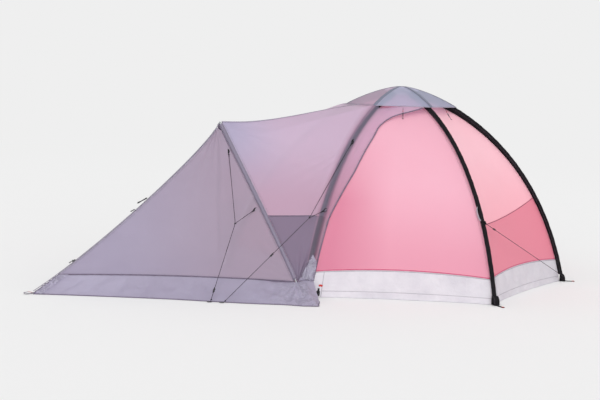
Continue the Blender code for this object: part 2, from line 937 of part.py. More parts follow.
def front_grid():
    zip_foot = zip_share_at_height(seam_height)
    hoop_foot = hoop_share_at_height(cover_foot_height)
    grid = []
    for down in spread(front_rows, front_start_share, 1.0):
        ridge = zip_point(zip_foot * down)
        leg = hoop_point(-1, hoop_foot * down)
        reach = leg - ridge
        zip_slope = bezier_slope(zip_handles(), zip_foot * down)
        leg_slope = bezier_slope(hoop_handles(-1), hoop_foot * down)
        near_trim = (zip_width / 2 + cloth / 2 + seam_space) / reach.cross(zip_slope).length
        far_trim = (hoop_sleeve_radius + cloth / 2 + seam_space) / reach.cross(leg_slope).length
        line = []
        for across in spread(cloth_columns):
            share = near_trim + (1 - near_trim - far_trim) * across
            dip = front_sag * bow(share) * down
            arch = Vector((0, 0, seam_arch * bow(across) * down))
            line.append(ridge + share * reach + arch + dip * reach.cross(zip_slope).normalized())
        grid.append(line)
    return grid


def front_panel_side(side, name):
    grid = [[on_side(point, side) for point in line] for line in front_grid()]
    return sheet(name, grid, lilac_cloth())


def skirt_top_line():
    front = front_grid()[-1]
    roof = side_grid()[-1]
    around = hoop_point(-1, hoop_share_at_height(cover_foot_height))
    outward = Vector(skirt_corner_way).normalized()
    corner = around + (hoop_sleeve_radius + cloth + seam_space) * outward
    return front + [corner] + roof[1:]


def skirt_grid():
    top = skirt_top_line()
    leg_foot = hoop_point(-1, 1)
    hem = []
    for reach_share, half_share in skirt_hem_shares + (skirt_heel_shares,):
        reach = leg_foot.x + reach_share * (-tip_reach - leg_foot.x)
        hem.append(Vector((reach, half_share * leg_foot.y, 0)))
    heel = hem.pop()
    lengths = [0.0]
    for first, second in zip(top, top[1:]):
        lengths.append(lengths[-1] + (second - first).length)
    last_front = skirt_front_columns - 1
    grid = [[] for _ in range(skirt_rows)]
    for index, point in enumerate(top):
        if index <= last_front:
            place = index / last_front * (len(hem) - 2)
            step = min(int(place), len(hem) - 3)
            foot = hem[step].lerp(hem[step + 1], place - step)
        else:
            part = (lengths[index] - lengths[last_front]) / (lengths[-1] - lengths[last_front])
            if part < skirt_corner_share:
                foot = hem[-2].lerp(hem[-1], part / skirt_corner_share)
            else:
                foot = hem[-1].lerp(heel, (part - skirt_corner_share) / (1 - skirt_corner_share))
        start = point - Vector((0, 0, cloth / 2 + seam_space))
        fold = fold_depth * math.sin(math.tau * lengths[index] / fold_length)
        for row, down in enumerate(spread(skirt_rows)):
            place = start.lerp(foot, down)
            place.z -= bow(down) * (fold_depth + fold)
            grid[row].append(above_ground(place))
    return grid


def skirts():
    grid = skirt_grid()
    left = [list(line) for line in grid]
    sheet("skirt_left", left, lilac_cloth())
    right = [[on_side(point, 1) for point in line] for line in grid]
    front = [line[:cloth_columns] for line in right]
    corner = [line[cloth_columns - 1:] for line in right]
    for line in front:
        line[-1] = line[-1].lerp(line[-2], 2 * seam_space / (line[-1] - line[-2]).length)
    sheet("skirt_right_corner", corner, lilac_cloth())
    return sheet("skirt_right_front", front, lilac_cloth())


def door_axis():
    top = hoop_point(1, 0) + Vector(door_axis_top_shift)
    low = hoop_point(1, hoop_share_at_height(door_axis_height)) + Vector(door_axis_low_shift)
    return top, (low - top).normalized()


# Small fittings

def tip_loop():
    tip = zip_point(1)
    base = Vector((tip.x - tip_loop_gap - tip_loop_length / 2, 0, 0))
    block("tip_webbing_loop", base, Vector((1, 0, 0)), Vector((0, 1, 0)),
          (tip_loop_length, tip_loop_width, tip_loop_thickness), black_webbing())


def zip_slider():
    first = zip_point(zip_travel_shares[0])
    last = zip_point(zip_travel_shares[1])
    along = (last - first).normalized()
    outward = ridge_outward(zip_travel_shares[0])
    place = first + (zip_thickness / 2 + zip_slider_lift) * outward
    made = block("vestibule_zip_slider", place, along, outward.cross(along),
                 (zip_slider_length, zip_slider_width, zip_slider_height), black_plastic())
    set_origin(made, place)


def tieback_toggle(index):
    share = zip_share_at_height(toggle_heights[index])
    slope = bezier_slope(zip_handles(), share)
    outward = ridge_outward(share)
    lift = zip_thickness / 2 + seam_space + toggle_diameters[index] / 2
    base = zip_point(share) + lift * outward
    turn = math.radians(toggle_turn_deg)
    tip = base + toggle_lengths[index] * (math.cos(turn) * slope + math.sin(turn) * outward)
    made = rod("tieback_toggle_" + ("upper", "lower")[index], [base, tip], toggle_diameters[index],
               black_plastic(), Vector((0, 1, 0)))
    set_origin(made, base)


def corner_buckle(side, label):
    across = buckle_offset / floor_radius
    place = canopy_point(0, across, share_at_height(buckle_height), buckle_lift)
    ahead = canopy_point(0, across, share_at_height(tub_corner_height), buckle_lift)
    along = on_side(ahead - place, side)
    outward = on_side(facet_direction(0), side)
    place = on_side(place, side)
    made = block("corner_buckle_" + label, place, along, outward.cross(along),
                 (buckle_length, buckle_width, buckle_thickness), black_plastic())
    set_origin(made, place)


def cap_hook():
    edge = cap_point(0, 0.5, share_at_radius(cap_radius))
    top = edge + Vector((0, 0, -cloth / 2 - seam_space))
    foot = top - Vector((0, 0, cap_hook_length))
    rod("cap_hook", [top, foot], cap_hook_diameter, black_plastic(), Vector((1, 0, 0)))


# Guy lines and their tensioners

def cord(name, route):
    points = [Vector(place) for place in route]
    path = []
    for first, second in zip(points, points[1:]):
        count = max(2, round(cord_points * (second - first).length))
        path += [first.lerp(second, step / count) for step in range(count)]
    path.append(points[-1])
    curve = bpy.data.curves.new(name, "CURVE")
    curve.dimensions = "3D"
    curve.bevel_depth = cord_diameter / 2
    curve.bevel_resolution = 2
    curve.use_fill_caps = True
    spline = curve.splines.new("POLY")
    spline.points.add(len(path) - 1)
    for index, point in enumerate(path):
        spline.points[index].co = (*point, 1)
    curve.materials.append(dark_cord())
    made = bpy.data.objects.new(name, curve)
    bpy.context.scene.collection.objects.link(made)


def tensioner(name, route, share):
    first, last = (Vector(place) for place in route[-2:])
    along = (last - first).normalized()
    place = first.lerp(last, share)
    path = [place - along * tensioner_length / 2, place + along * tensioner_length / 2]
    side = along.cross(Vector((0, 0, 1)))
    hole = cord_diameter / 2 + socket_clearance
    made = hose(name, path, tensioner_diameter / 2, hole, black_plastic(), side)
    set_origin(made, place)


def build():
    clear_scene()
    for index in range(3):
        dome_pole(index)
    for corner in range(6):
        pole_sleeve(corner)
        corner_webbing(corner)
    for facet in range(5):
        canopy_panel(facet)
    front_panel()
    inner_door()
    inner_door_slider()
    tub_wall()
    floor()
    foot_end_liner()
    crown_patch()
    for side, label in ((-1, "left"), (1, "right")):
        hoop_leg(side, label)
        hoop_sleeve(side, label)
        hoop_socket(side, label)
        roof_panels(side, label)
        corner_buckle(side, label)
    hoop_elbow()
    cover_cap()
    ridge_zip()
    front_panel_side(-1, "vestibule_panel_left")
    door = front_panel_side(1, "vestibule_door_right")
    for piece in (door, skirts()):
        set_origin(piece, door_axis()[0])
    tip_loop()
    zip_slider()
    for index in range(2):
        tieback_toggle(index)
    cap_hook()
    cord("guy_line_hoop", guy_a_route)
    cord("guy_line_hoop_branch", guy_a_branch)
    cord("guy_line_front_pole", guy_b_route)
    cord("guy_line_front_pole_branch", guy_b_branch)
    cord("guy_line_side_pole", guy_c_route)
    tensioner("tensioner_hoop", guy_a_route, guy_a_tensioner_share)
    tensioner("tensioner_front_pole", guy_b_route, guy_b_tensioner_share)
    tensioner("tensioner_side_pole", guy_c_route, guy_c_tensioner_share)


build()
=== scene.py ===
import math

import bmesh
import bpy
import numpy as np
from mathutils import Matrix, Vector, noise


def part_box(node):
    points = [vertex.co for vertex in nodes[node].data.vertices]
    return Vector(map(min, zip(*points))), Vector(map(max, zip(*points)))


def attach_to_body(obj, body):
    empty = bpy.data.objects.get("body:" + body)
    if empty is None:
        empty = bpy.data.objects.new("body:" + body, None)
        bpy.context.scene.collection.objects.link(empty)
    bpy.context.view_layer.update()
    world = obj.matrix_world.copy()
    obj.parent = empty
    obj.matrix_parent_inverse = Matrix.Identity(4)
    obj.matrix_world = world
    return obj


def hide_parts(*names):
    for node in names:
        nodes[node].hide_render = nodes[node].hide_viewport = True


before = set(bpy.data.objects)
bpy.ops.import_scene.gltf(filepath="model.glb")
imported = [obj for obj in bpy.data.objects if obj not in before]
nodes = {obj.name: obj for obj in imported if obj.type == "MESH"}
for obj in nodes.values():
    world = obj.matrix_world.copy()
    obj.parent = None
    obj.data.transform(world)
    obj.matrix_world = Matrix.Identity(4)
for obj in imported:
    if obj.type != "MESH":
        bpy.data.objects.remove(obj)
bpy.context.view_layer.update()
print("frame loaded:", len(nodes), "nodes")

cornerNames = ("front_left", "left", "rear_left", "rear_right", "right", "front_right")
facetNames = ("left_front", "left_rear", "rear", "right_rear", "right_front", "front")
up = np.array((0.0, 0.0, 1.0))
flatten = np.array((1.0, 1.0, 0.0))

# The frame's own lines: dome poles, vestibule hoop and ridge
dome = {
    "floorRadius": 1.100, "crownHeight": 1.208, "footIn": 0.2065, "footUp": 0.980, "crownLevel": 0.154,
    "cornerTurns": (210, 270, 330, 30, 90, 150), "poleStep": 0.0099, "seat": 0.0157, "sag": 0.030,
    "sleeveStart": 0.047, "sleeveEnd": 0.105, "tubHeight": 0.150, "tubRise": 0.022, "crownHole": 0.034,
}
hoop = {"top": (-1.280, 0.0, 0.988), "foot": (-0.987, 0.592, 0.0), "upper": (0.190, 0.308), "lower": (0.010, 0.135),
        "sleeveStart": 0.023, "sleeveEnd": 0.108}
ridge = {"top": (-1.280, 0.988), "upper": (-1.306, 0.876), "lower": (-1.998, 0.257), "tip": (-2.400, 0.012)}


def unit(vectors):
    vectors = np.asarray(vectors, float)
    return vectors / np.maximum(np.linalg.norm(vectors, axis=-1, keepdims=True), 1e-12)


def bezierAt(handles, share):
    s = np.asarray(share, float)[..., None]
    r = 1 - s
    return r**3 * handles[0] + 3 * r * r * s * handles[1] + 3 * r * s * s * handles[2] + s**3 * handles[3]


def slopeAt(handles, share):
    s = np.asarray(share, float)[..., None]
    r = 1 - s
    return unit(r * r * (handles[1] - handles[0]) + 2 * r * s * (handles[2] - handles[1])
                + s * s * (handles[3] - handles[2]))


def poleHandles(rise=0.0):
    top = dome["crownHeight"] + rise
    return np.array(((dome["floorRadius"], 0), (dome["floorRadius"] - dome["footIn"], dome["footUp"]),
                     (dome["crownLevel"], top), (0, top)), float)


def hoopHandles(side):
    top = np.array(hoop["top"], float)
    foot = np.array((hoop["foot"][0], side * hoop["foot"][1], 0.0))
    down = unit((foot[0] - top[0], 0, foot[2] - top[2]))
    upper = top + (0, side * hoop["upper"][0], 0) + down * hoop["upper"][1]
    lower = foot - (0, side * hoop["lower"][0], 0) - down * hoop["lower"][1]
    return np.array((top, upper, lower, foot))


ridgeHandles = np.array([(x, 0.0, z) for x, z in (ridge["top"], ridge["upper"], ridge["lower"], ridge["tip"])])
tableShares = np.linspace(0, 1, 4001)
poleTable = bezierAt(poleHandles(), tableShares)
hoopTable = bezierAt(hoopHandles(-1), tableShares)[:, 2]
ridgeTable = bezierAt(ridgeHandles, tableShares)[:, 2]


def shareAtHeight(height):
    return np.interp(height, poleTable[:, 1], tableShares)


def shareAtRadius(radius):
    return np.interp(-np.asarray(radius, float), -poleTable[:, 0], tableShares)


def radiusAt(share):
    return np.interp(share, tableShares, poleTable[:, 0])


def heightAt(share):
    return np.interp(share, tableShares, poleTable[:, 1])


def hoopShareAtHeight(height):
    return np.interp(-np.asarray(height, float), -hoopTable, tableShares)


def ridgeShareAtHeight(height):
    return np.interp(-np.asarray(height, float), -ridgeTable, tableShares)


def cornerWay(corner):
    turn = math.radians(dome["cornerTurns"][corner % 6])
    return np.array((math.cos(turn), math.sin(turn), 0.0))


def facetWay(facet):
    return unit(cornerWay(facet) + cornerWay(facet + 1))


def crossingRise(corner):
    return (corner % 3 - 1) * dome["poleStep"]


def polePoint(corner, share, lift=0.0, rise=0.0):
    handles = poleHandles(rise)
    flat, slope = bezierAt(handles, share), slopeAt(handles, share)
    lift = np.asarray(lift, float)
    reach = flat[..., 0] + lift * slope[..., 1]
    height = flat[..., 1] - lift * slope[..., 0]
    return reach[..., None] * cornerWay(corner) + height[..., None] * up


def betweenPoles(facet, across, share, lift, rise):
    near, far = polePoint(facet, share, lift, rise), polePoint(facet + 1, share, lift, rise)
    return near + (far - near) * across


def canopyPoint(facet, across, share, lift=0.0):
    across, share, lift = np.broadcast_arrays(*(np.asarray(value, float) for value in (across, share, lift)))
    depth = 0 if facet == 5 else dome["sag"]
    sag = depth * (1 - share * share) * 4 * across * (1 - across)
    straight = betweenPoles(facet, across[..., None], share, lift - dome["seat"], -dome["poleStep"])
    return straight - sag[..., None] * facetWay(facet)


def hoopPoint(side, share):
    return bezierAt(hoopHandles(side), share)


def ridgePoint(share):
    return bezierAt(ridgeHandles, share)


def ridgeOutward(share):
    slope = slopeAt(ridgeHandles, share)
    return np.stack((slope[..., 2], np.zeros_like(slope[..., 0]), -slope[..., 0]), -1)


def onSide(points, side):
    return np.asarray(points, float) * (1, -side, 1)


# Curves and grids

def lengthsAlong(path):
    return np.concatenate(((0,), np.cumsum(np.linalg.norm(np.diff(path, axis=0), axis=1))))


def pathLength(path):
    return float(lengthsAlong(path)[-1])


def spacedPath(path, count):
    lengths = lengthsAlong(path)
    places = np.linspace(0, lengths[-1], count)
    return np.stack([np.interp(places, lengths, path[:, axis]) for axis in range(3)], -1)


# Smooth curve through control points along the last but one axis. steps counts control points, with parts.
def smoothLine(points, steps):
    points = np.asarray(points, float)
    count = points.shape[-2]
    gaps = np.linalg.norm(np.diff(points, axis=-2), axis=-1).reshape(-1, count - 1).mean(0)
    spans = np.maximum(gaps, 1e-6)
    secants = np.diff(points, axis=-2) / spans[:, None]
    slopes = np.empty_like(points)
    slopes[..., 0, :] = secants[..., 0, :]
    slopes[..., -1, :] = secants[..., -1, :]
    before, after = spans[:-1, None], spans[1:, None]
    slopes[..., 1:-1, :] = (secants[..., :-1, :] * after + secants[..., 1:, :] * before) / (before + after)
    steps = np.asarray(steps, float)
    step = np.clip(steps.astype(int), 0, count - 2)
    part = (steps - step)[:, None]
    span = spans[step][:, None]
    first, last = points[..., step, :], points[..., step + 1, :]
    a, b = slopes[..., step, :], slopes[..., step + 1, :]
    return ((2 * part**3 - 3 * part**2 + 1) * first + (part**3 - 2 * part**2 + part) * span * a
            + (3 * part**2 - 2 * part**3) * last + (part**3 - part**2) * span * b)


def facing(grid, outward):
    normals = unit(np.cross(np.gradient(grid, axis=1), np.gradient(grid, axis=0)))
    return normals if (normals * outward).sum(-1).mean() > 0 else -normals


# Directions square to a path: outward as asked, and sideways
def pathWays(path, outward):
    along = unit(np.gradient(path, axis=0))
    outward = np.broadcast_to(np.asarray(outward, float), path.shape)
    out = unit(outward - (outward * along).sum(-1, keepdims=True) * along)
    return out, np.cross(along, out)


def circle(count, radius=1.0, squash=1.0, closed=False):
    turns = np.linspace(0, math.tau, count, endpoint=closed)
    return np.stack((radius * np.cos(turns), radius * squash * np.sin(turns)), -1)


def linked(made):
    bpy.context.scene.collection.objects.link(made)
    return made


def addMesh(name, verts, faces, uvs=None, material=None, smooth=True):
    mesh = bpy.data.meshes.new(name)
    mesh.from_pydata(np.asarray(verts, float).tolist(), [], faces)
    if uvs is not None:
        layer = mesh.uv_layers.new(name="clothUv")
        loops = np.empty(len(mesh.loops), np.int32)
        mesh.loops.foreach_get("vertex_index", loops)
        layer.data.foreach_set("uv", np.asarray(uvs, float)[loops].ravel())
    if smooth:
        mesh.shade_smooth()
    if material:
        mesh.materials.append(paint[material])
    return linked(bpy.data.objects.new(name, mesh))


# A single sheet of cloth through a grid of points, with its UV map in metres along the cloth.
def clothSheet(name, points, material, keep=None, outward=None, facts=None):
    rows, columns = points.shape[:2]
    index = np.arange(rows * columns).reshape(rows, columns)
    cells = np.stack((index[:-1, :-1], index[:-1, 1:], index[1:, 1:], index[1:, :-1]), -1)
    if keep is not None:
        cells = cells[keep]
    faces = cells.reshape(-1, 4)
    normal = unit(np.cross(np.gradient(points, axis=1), np.gradient(points, axis=0)))
    if outward is not None and (normal * outward).sum(-1).mean() < 0:
        faces = faces[:, ::-1]
    across = np.linalg.norm(np.diff(points, axis=1), axis=-1)
    along = np.linalg.norm(np.diff(points, axis=0), axis=-1)
    u = np.concatenate((np.zeros((rows, 1)), np.cumsum(across, 1)), 1)
    v = np.concatenate((np.zeros((1, columns)), np.cumsum(along, 0)), 0)
    u = u - u.mean(1, keepdims=True)
    used = np.unique(faces)
    renumber = np.full(rows * columns, -1)
    renumber[used] = np.arange(len(used))
    uv = np.stack((u.ravel(), v.ravel()), -1)[used]
    made = addMesh(name, points.reshape(-1, 3)[used], renumber[faces].tolist(), uv, material)
    for label, values in (facts or {}).items():
        layer = made.data.attributes.new(label, "FLOAT", "POINT")
        values = np.broadcast_to(np.asarray(values, np.float32), (rows, columns))
        layer.data.foreach_set("value", values.ravel()[used])
    return made


# Rings of points joined into a skin, closed at both ends or open like a tube
def ringSkin(name, rings, around, along, material, closed=True):
    index = np.arange(rings.shape[0] * rings.shape[1]).reshape(rings.shape[:2])
    after = np.roll(index, -1, 1)
    faces = np.stack((index[:-1], index[1:], after[1:], after[:-1]), -1).reshape(-1, 4).tolist()
    if closed:
        faces += [index[0].tolist(), index[-1][::-1].tolist()]
    uv = np.stack(np.meshgrid(around, along), -1).reshape(-1, 2)
    made = addMesh(name, rings.reshape(-1, 3), faces, uv, material)
    shape = bmesh.new()
    shape.from_mesh(made.data)
    if closed:
        bmesh.ops.recalc_face_normals(shape, faces=shape.faces)
    shape.to_mesh(made.data)
    shape.free()
    return made


# Rings swept along a path; profile gives each ring's points as (sideways, outward) pairs.
def sweepProfile(name, path, outward, profile, material, closed=True):
    path = np.asarray(path, float)
    out, side = pathWays(path, outward)
    profile = np.broadcast_to(np.asarray(profile, float), (len(path),) + np.asarray(profile).shape[-2:])
    rings = path[:, None] + profile[..., :1] * side[:, None] + profile[..., 1:] * out[:, None]
    return ringSkin(name, rings, lengthsAlong(profile[0]), lengthsAlong(path), material, closed)


# A solid whose outline is drawn in one plane and puffed out to both sides.
def puffed(name, outline, sideway, width, material, power=3.0, steps=9):
    middle = outline.mean(0)
    rings = []
    for place in np.linspace(-1, 1, steps):
        scale = max(0.0, 1 - abs(place) ** power) ** (1 / power)
        rings.append(middle + (outline - middle) * (0.30 + 0.70 * scale) + sideway * width / 2 * place)
    return ringSkin(name, np.array(rings), lengthsAlong(outline), np.linspace(0, width, steps), material)


def joinPieces(name, pieces):
    shape = bmesh.new()
    materials = []
    for piece in pieces:
        before = len(shape.faces)
        shape.from_mesh(piece.data)
        shape.faces.ensure_lookup_table()
        for face in shape.faces[before:]:
            face.material_index += len(materials)
        materials += list(piece.data.materials)
        bpy.data.objects.remove(piece)
    mesh = bpy.data.meshes.new(name)
    shape.to_mesh(mesh)
    shape.free()
    for material in materials:
        mesh.materials.append(material)
    return linked(bpy.data.objects.new(name, mesh))


# Tape laid along a line on the cloth, closed all round. sizes are its width and thickness.
def tape(path, outward, sizes, material, lift=0.0):
    path = np.asarray(path, float)
    half, rise = sizes[0] / 2, sizes[1] / 2
    profile = [(-half, 0), (-half * 0.9, rise), (0, rise * 1.2), (half * 0.9, rise), (half, 0),
               (half * 0.9, -rise), (0, -rise), (-half * 0.9, -rise)]
    return sweepProfile("tape", path + lift * np.asarray(outward), outward, profile, material)


# Makes a piece ride on a body and stand for CAD nodes, which it hides
def attach(piece, body, replaced):
    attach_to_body(piece, body)
    if replaced:
        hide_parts(*replaced)
    return piece


# Camera

cameraSetup = {"place": (-4.006, -6.342, 1.239), "toward": (0.534, 0.8455), "turn": 0.085, "down": 0.1025,
               "roll": 0.034, "lens": 68.63, "sensor": 36.0, "clip": 200}


def turned(first, second, turn):
    return first * math.cos(turn) - second * math.sin(turn), second * math.cos(turn) + first * math.sin(turn)


def addCamera():
    ahead = unit((*cameraSetup["toward"], 0.0))
    level, levelRight = turned(ahead, np.cross(ahead, up), cameraSetup["turn"])
    look, upright = turned(level, up, cameraSetup["down"])
    top, side = turned(upright, levelRight, cameraSetup["roll"])
    data = bpy.data.cameras.new("camera")
    data.lens = cameraSetup["lens"]
    data.sensor_width = cameraSetup["sensor"]
    data.clip_end = cameraSetup["clip"]
    camera = linked(bpy.data.objects.new("camera", data))
    turn = Matrix((side, top, -look)).transposed()
    camera.matrix_world = Matrix.Translation(Vector(cameraSetup["place"])) @ turn.to_4x4()
    bpy.context.scene.camera = camera


addCamera()
print("camera placed")

# Nodes


# Adds a node, sets or links its inputs, and gives back one of its outputs.
def addNode(tree, kind, inputs=None, out=0, **settings):
    made = tree.nodes.new(kind)
    for label, value in settings.items():
        setattr(made, label, value)
    for label, value in (inputs or {}).items():
        if isinstance(value, bpy.types.NodeSocket):
            tree.links.new(value, made.inputs[label])
        else:
            made.inputs[label].default_value = value
    return made.outputs[out] if len(made.outputs) else None


def shade(tree, kind, inputs=None, out=0, **settings):
    return addNode(tree, "ShaderNode" + kind, inputs, out, **settings)


def multiplied(tree, first, second):
    return shade(tree, "Math", {0: first, 1: second}, operation="MULTIPLY")


def scaled(tree, vector, scale):
    return shade(tree, "VectorMath", {0: vector, 3: scale}, operation="SCALE")


def colorOf(values):
    return (*values, 1.0)


def mixColors(tree, share, first, second, blend="MIX"):
    first, second = (value if isinstance(value, bpy.types.NodeSocket) else colorOf(value)
                     for value in (first, second))
    return shade(tree, "Mix", {0: share, 6: first, 7: second}, 2, data_type="RGBA", blend_type=blend)


def mapped(tree, value, low, high, newLow, newHigh, way="LINEAR"):
    return shade(tree, "MapRange", {"Value": value, "From Min": low, "From Max": high, "To Min": newLow,
                                    "To Max": newHigh}, interpolation_type=way)


# Small pieces repeated along lines, by Geometry Nodes

def repeatTree(name, inputs):
    tree = bpy.data.node_groups.new(name, "GeometryNodeTree")
    tree.interface.new_socket("Geometry", in_out="INPUT", socket_type="NodeSocketGeometry")
    for label, kind, value in inputs:
        socket = tree.interface.new_socket(label, in_out="INPUT", socket_type="NodeSocket" + kind)
        if value is not None:
            socket.default_value = value
    tree.interface.new_socket("Geometry", in_out="OUTPUT", socket_type="NodeSocketGeometry")
    given = tree.nodes.new("NodeGroupInput").outputs
    line = addNode(tree, "GeometryNodeMeshToCurve", {"Mesh": given["Geometry"]})
    line = addNode(tree, "GeometryNodeResampleCurve", {"Curve": line, "Length": given["Pitch"]}, mode="LENGTH")
    return tree, given, line, addNode(tree, "GeometryNodeInputTangent")


def layAlong(tree, line, piece, turn, material, more=None):
    laid = addNode(tree, "GeometryNodeInstanceOnPoints", {"Points": line, "Instance": piece, "Rotation": turn,
                                                          **(more or {})})
    real = addNode(tree, "GeometryNodeRealizeInstances", {"Geometry": laid})
    done = addNode(tree, "GeometryNodeSetMaterial", {"Geometry": real, "Material": material})
    addNode(tree, "NodeGroupOutput", {"Geometry": done})


# One bit of thread per stitch, lying along the seam.
def makeStitchTree():
    tree, given, line, tangent = repeatTree("stitches", (
        ("Pitch", "Float", 0.006), ("Length", "Float", 0.004), ("Radius", "Float", 0.0005), ("Seed", "Int", 3),
        ("Thread", "Material", None)))
    thread = addNode(tree, "GeometryNodeMeshCylinder", {"Vertices": 5, "Radius": given["Radius"],
                                                        "Depth": given["Length"]})
    turn = addNode(tree, "FunctionNodeAlignRotationToVector", {"Vector": tangent}, axis="Z")
    size = addNode(tree, "FunctionNodeRandomValue", {"Seed": given["Seed"], 2: 0.88, 3: 1.0}, 1, data_type="FLOAT")
    layAlong(tree, line, thread, turn, given["Thread"], {"Scale": size})
    return tree


# Zip teeth: blocks that reach in from the two tapes by turns.
def makeTeethTree():
    tree, given, line, tangent = repeatTree("zipTeeth", (
        ("Pitch", "Float", 0.003), ("Reach", "Float", 0.0012), ("Tooth", "Vector", (0.0022, 0.0016, 0.0017)),
        ("Plastic", "Material", None)))
    sideways = addNode(tree, "GeometryNodeInputNamedAttribute", {"Name": "sideways"}, data_type="FLOAT_VECTOR")
    odd = shade(tree, "Math", {0: addNode(tree, "GeometryNodeInputIndex"), 1: 2.0}, operation="MODULO")
    way = shade(tree, "Math", {0: odd, 1: 2.0, 2: -1.0}, operation="MULTIPLY_ADD")
    shift = scaled(tree, sideways, multiplied(tree, way, given["Reach"]))
    moved = addNode(tree, "GeometryNodeSetPosition", {"Geometry": line, "Offset": shift})
    turn = addNode(tree, "FunctionNodeAlignRotationToVector", {"Vector": sideways}, axis="X")
    turn = addNode(tree, "FunctionNodeAlignRotationToVector", {"Rotation": turn, "Vector": tangent}, axis="Y",
                   pivot_axis="X")
    layAlong(tree, moved, addNode(tree, "GeometryNodeMeshCube", {"Size": given["Tooth"]}), turn, given["Plastic"])
    return tree


def repeatAlong(name, paths, tree, values, sideways=None):
    edges, start = [], 0
    for path in paths:
        edges += [(start + step, start + step + 1) for step in range(len(path) - 1)]
        start += len(path)
    mesh = bpy.data.meshes.new(name + "_lines")
    mesh.from_pydata(np.concatenate(paths).tolist(), edges, [])
    if sideways is not None:
        layer = mesh.attributes.new("sideways", "FLOAT_VECTOR", "POINT")
        layer.data.foreach_set("vector", sideways.astype(np.float32).ravel())
    carrier = linked(bpy.data.objects.new(name + "_lines", mesh))
    modifier = carrier.modifiers.new("repeat", "NODES")
    modifier.node_group = tree
    for item in tree.interface.items_tree:
        if item.in_out == "INPUT" and item.name in values:
            modifier[item.identifier] = values[item.name]
    graph = bpy.context.evaluated_depsgraph_get()
    real = bpy.data.meshes.new_from_object(carrier.evaluated_get(graph), depsgraph=graph)
    made = linked(bpy.data.objects.new(name, real))
    bpy.data.objects.remove(carrier)
    return made


# Materials

def blankMaterial(name):
    made = bpy.data.materials.new(name)
    made.use_nodes = True
    made.node_tree.nodes.clear()
    return made, made.node_tree


def brick(tree, uv, scale, mortar, smooth, width, height, **settings):
    return shade(tree, "TexBrick", {"Vector": uv, "Scale": scale, "Mortar Size": mortar, "Mortar Smooth": smooth,
                                    "Brick Width": width, "Row Height": height}, "Fac", squash=1.0, **settings)


def noiseAt(tree, place, scale, detail, out="Fac", **more):
    return shade(tree, "TexNoise", {"Vector": place, "Scale": scale, "Detail": detail, **more}, out)


# Bumps on top of each other, given as (strength, distance, height)
def bumped(tree, *layers):
    normal = {}
    for strength, distance, height in layers:
        normal = {"Normal": shade(tree, "Bump", {"Strength": strength, "Distance": distance, "Height": height,
                                                 **normal})}
    return normal["Normal"]


def factOf(tree, label):
    return shade(tree, "Attribute", out="Fac", attribute_name=label)


def surfaceOf(tree, color, rough, bump, more):
    return shade(tree, "BsdfPrincipled", {"Base Color": color, "Roughness": rough, "Normal": bump, **more})


# Painted shade in the cells and painted highlights along the ridges of crumpled cloth, where the piece carries the fact
# "crumple"
crumpleShadeLook = {"bendScale": 16.0, "bend": 0.16, "scale": 27.0, "cellShade": 0.50, "shade": 0.58, "edge": 0.12, "ridge": 0.34}


def crumpleShadeAndHighlight(tree, place, color, look):
    part = factOf(tree, "crumple")
    bent = noiseAt(tree, place, crumpleShadeLook["bendScale"], 2.0, "Color")
    bent = shade(tree, "VectorMath", {0: place, 1: scaled(tree, bent, crumpleShadeLook["bend"])}, operation="ADD")
    cells = {"Vector": bent, "Scale": crumpleShadeLook["scale"]}
    edge = shade(tree, "TexVoronoi", cells, feature="DISTANCE_TO_EDGE")
    cell = shade(tree, "SeparateXYZ", {"Vector": shade(tree, "TexVoronoi", cells, "Color")}, "X")
    # Painted shade: the cells darken towards a darker copy of the colour
    cellShade = multiplied(tree, part, mapped(tree, cell, 0.2, 0.8, 0.0, crumpleShadeLook["cellShade"]))
    color = mixColors(tree, cellShade, color, tuple(crumpleShadeLook["shade"] * value for value in look["color"]))
    # Painted highlight: a light colour along the cells' edges
    part = multiplied(tree, part, mapped(tree, edge, 0.0, crumpleShadeLook["edge"], crumpleShadeLook["ridge"], 0.0))
    return mixColors(tree, part, color, look["ridgeHighlight"])
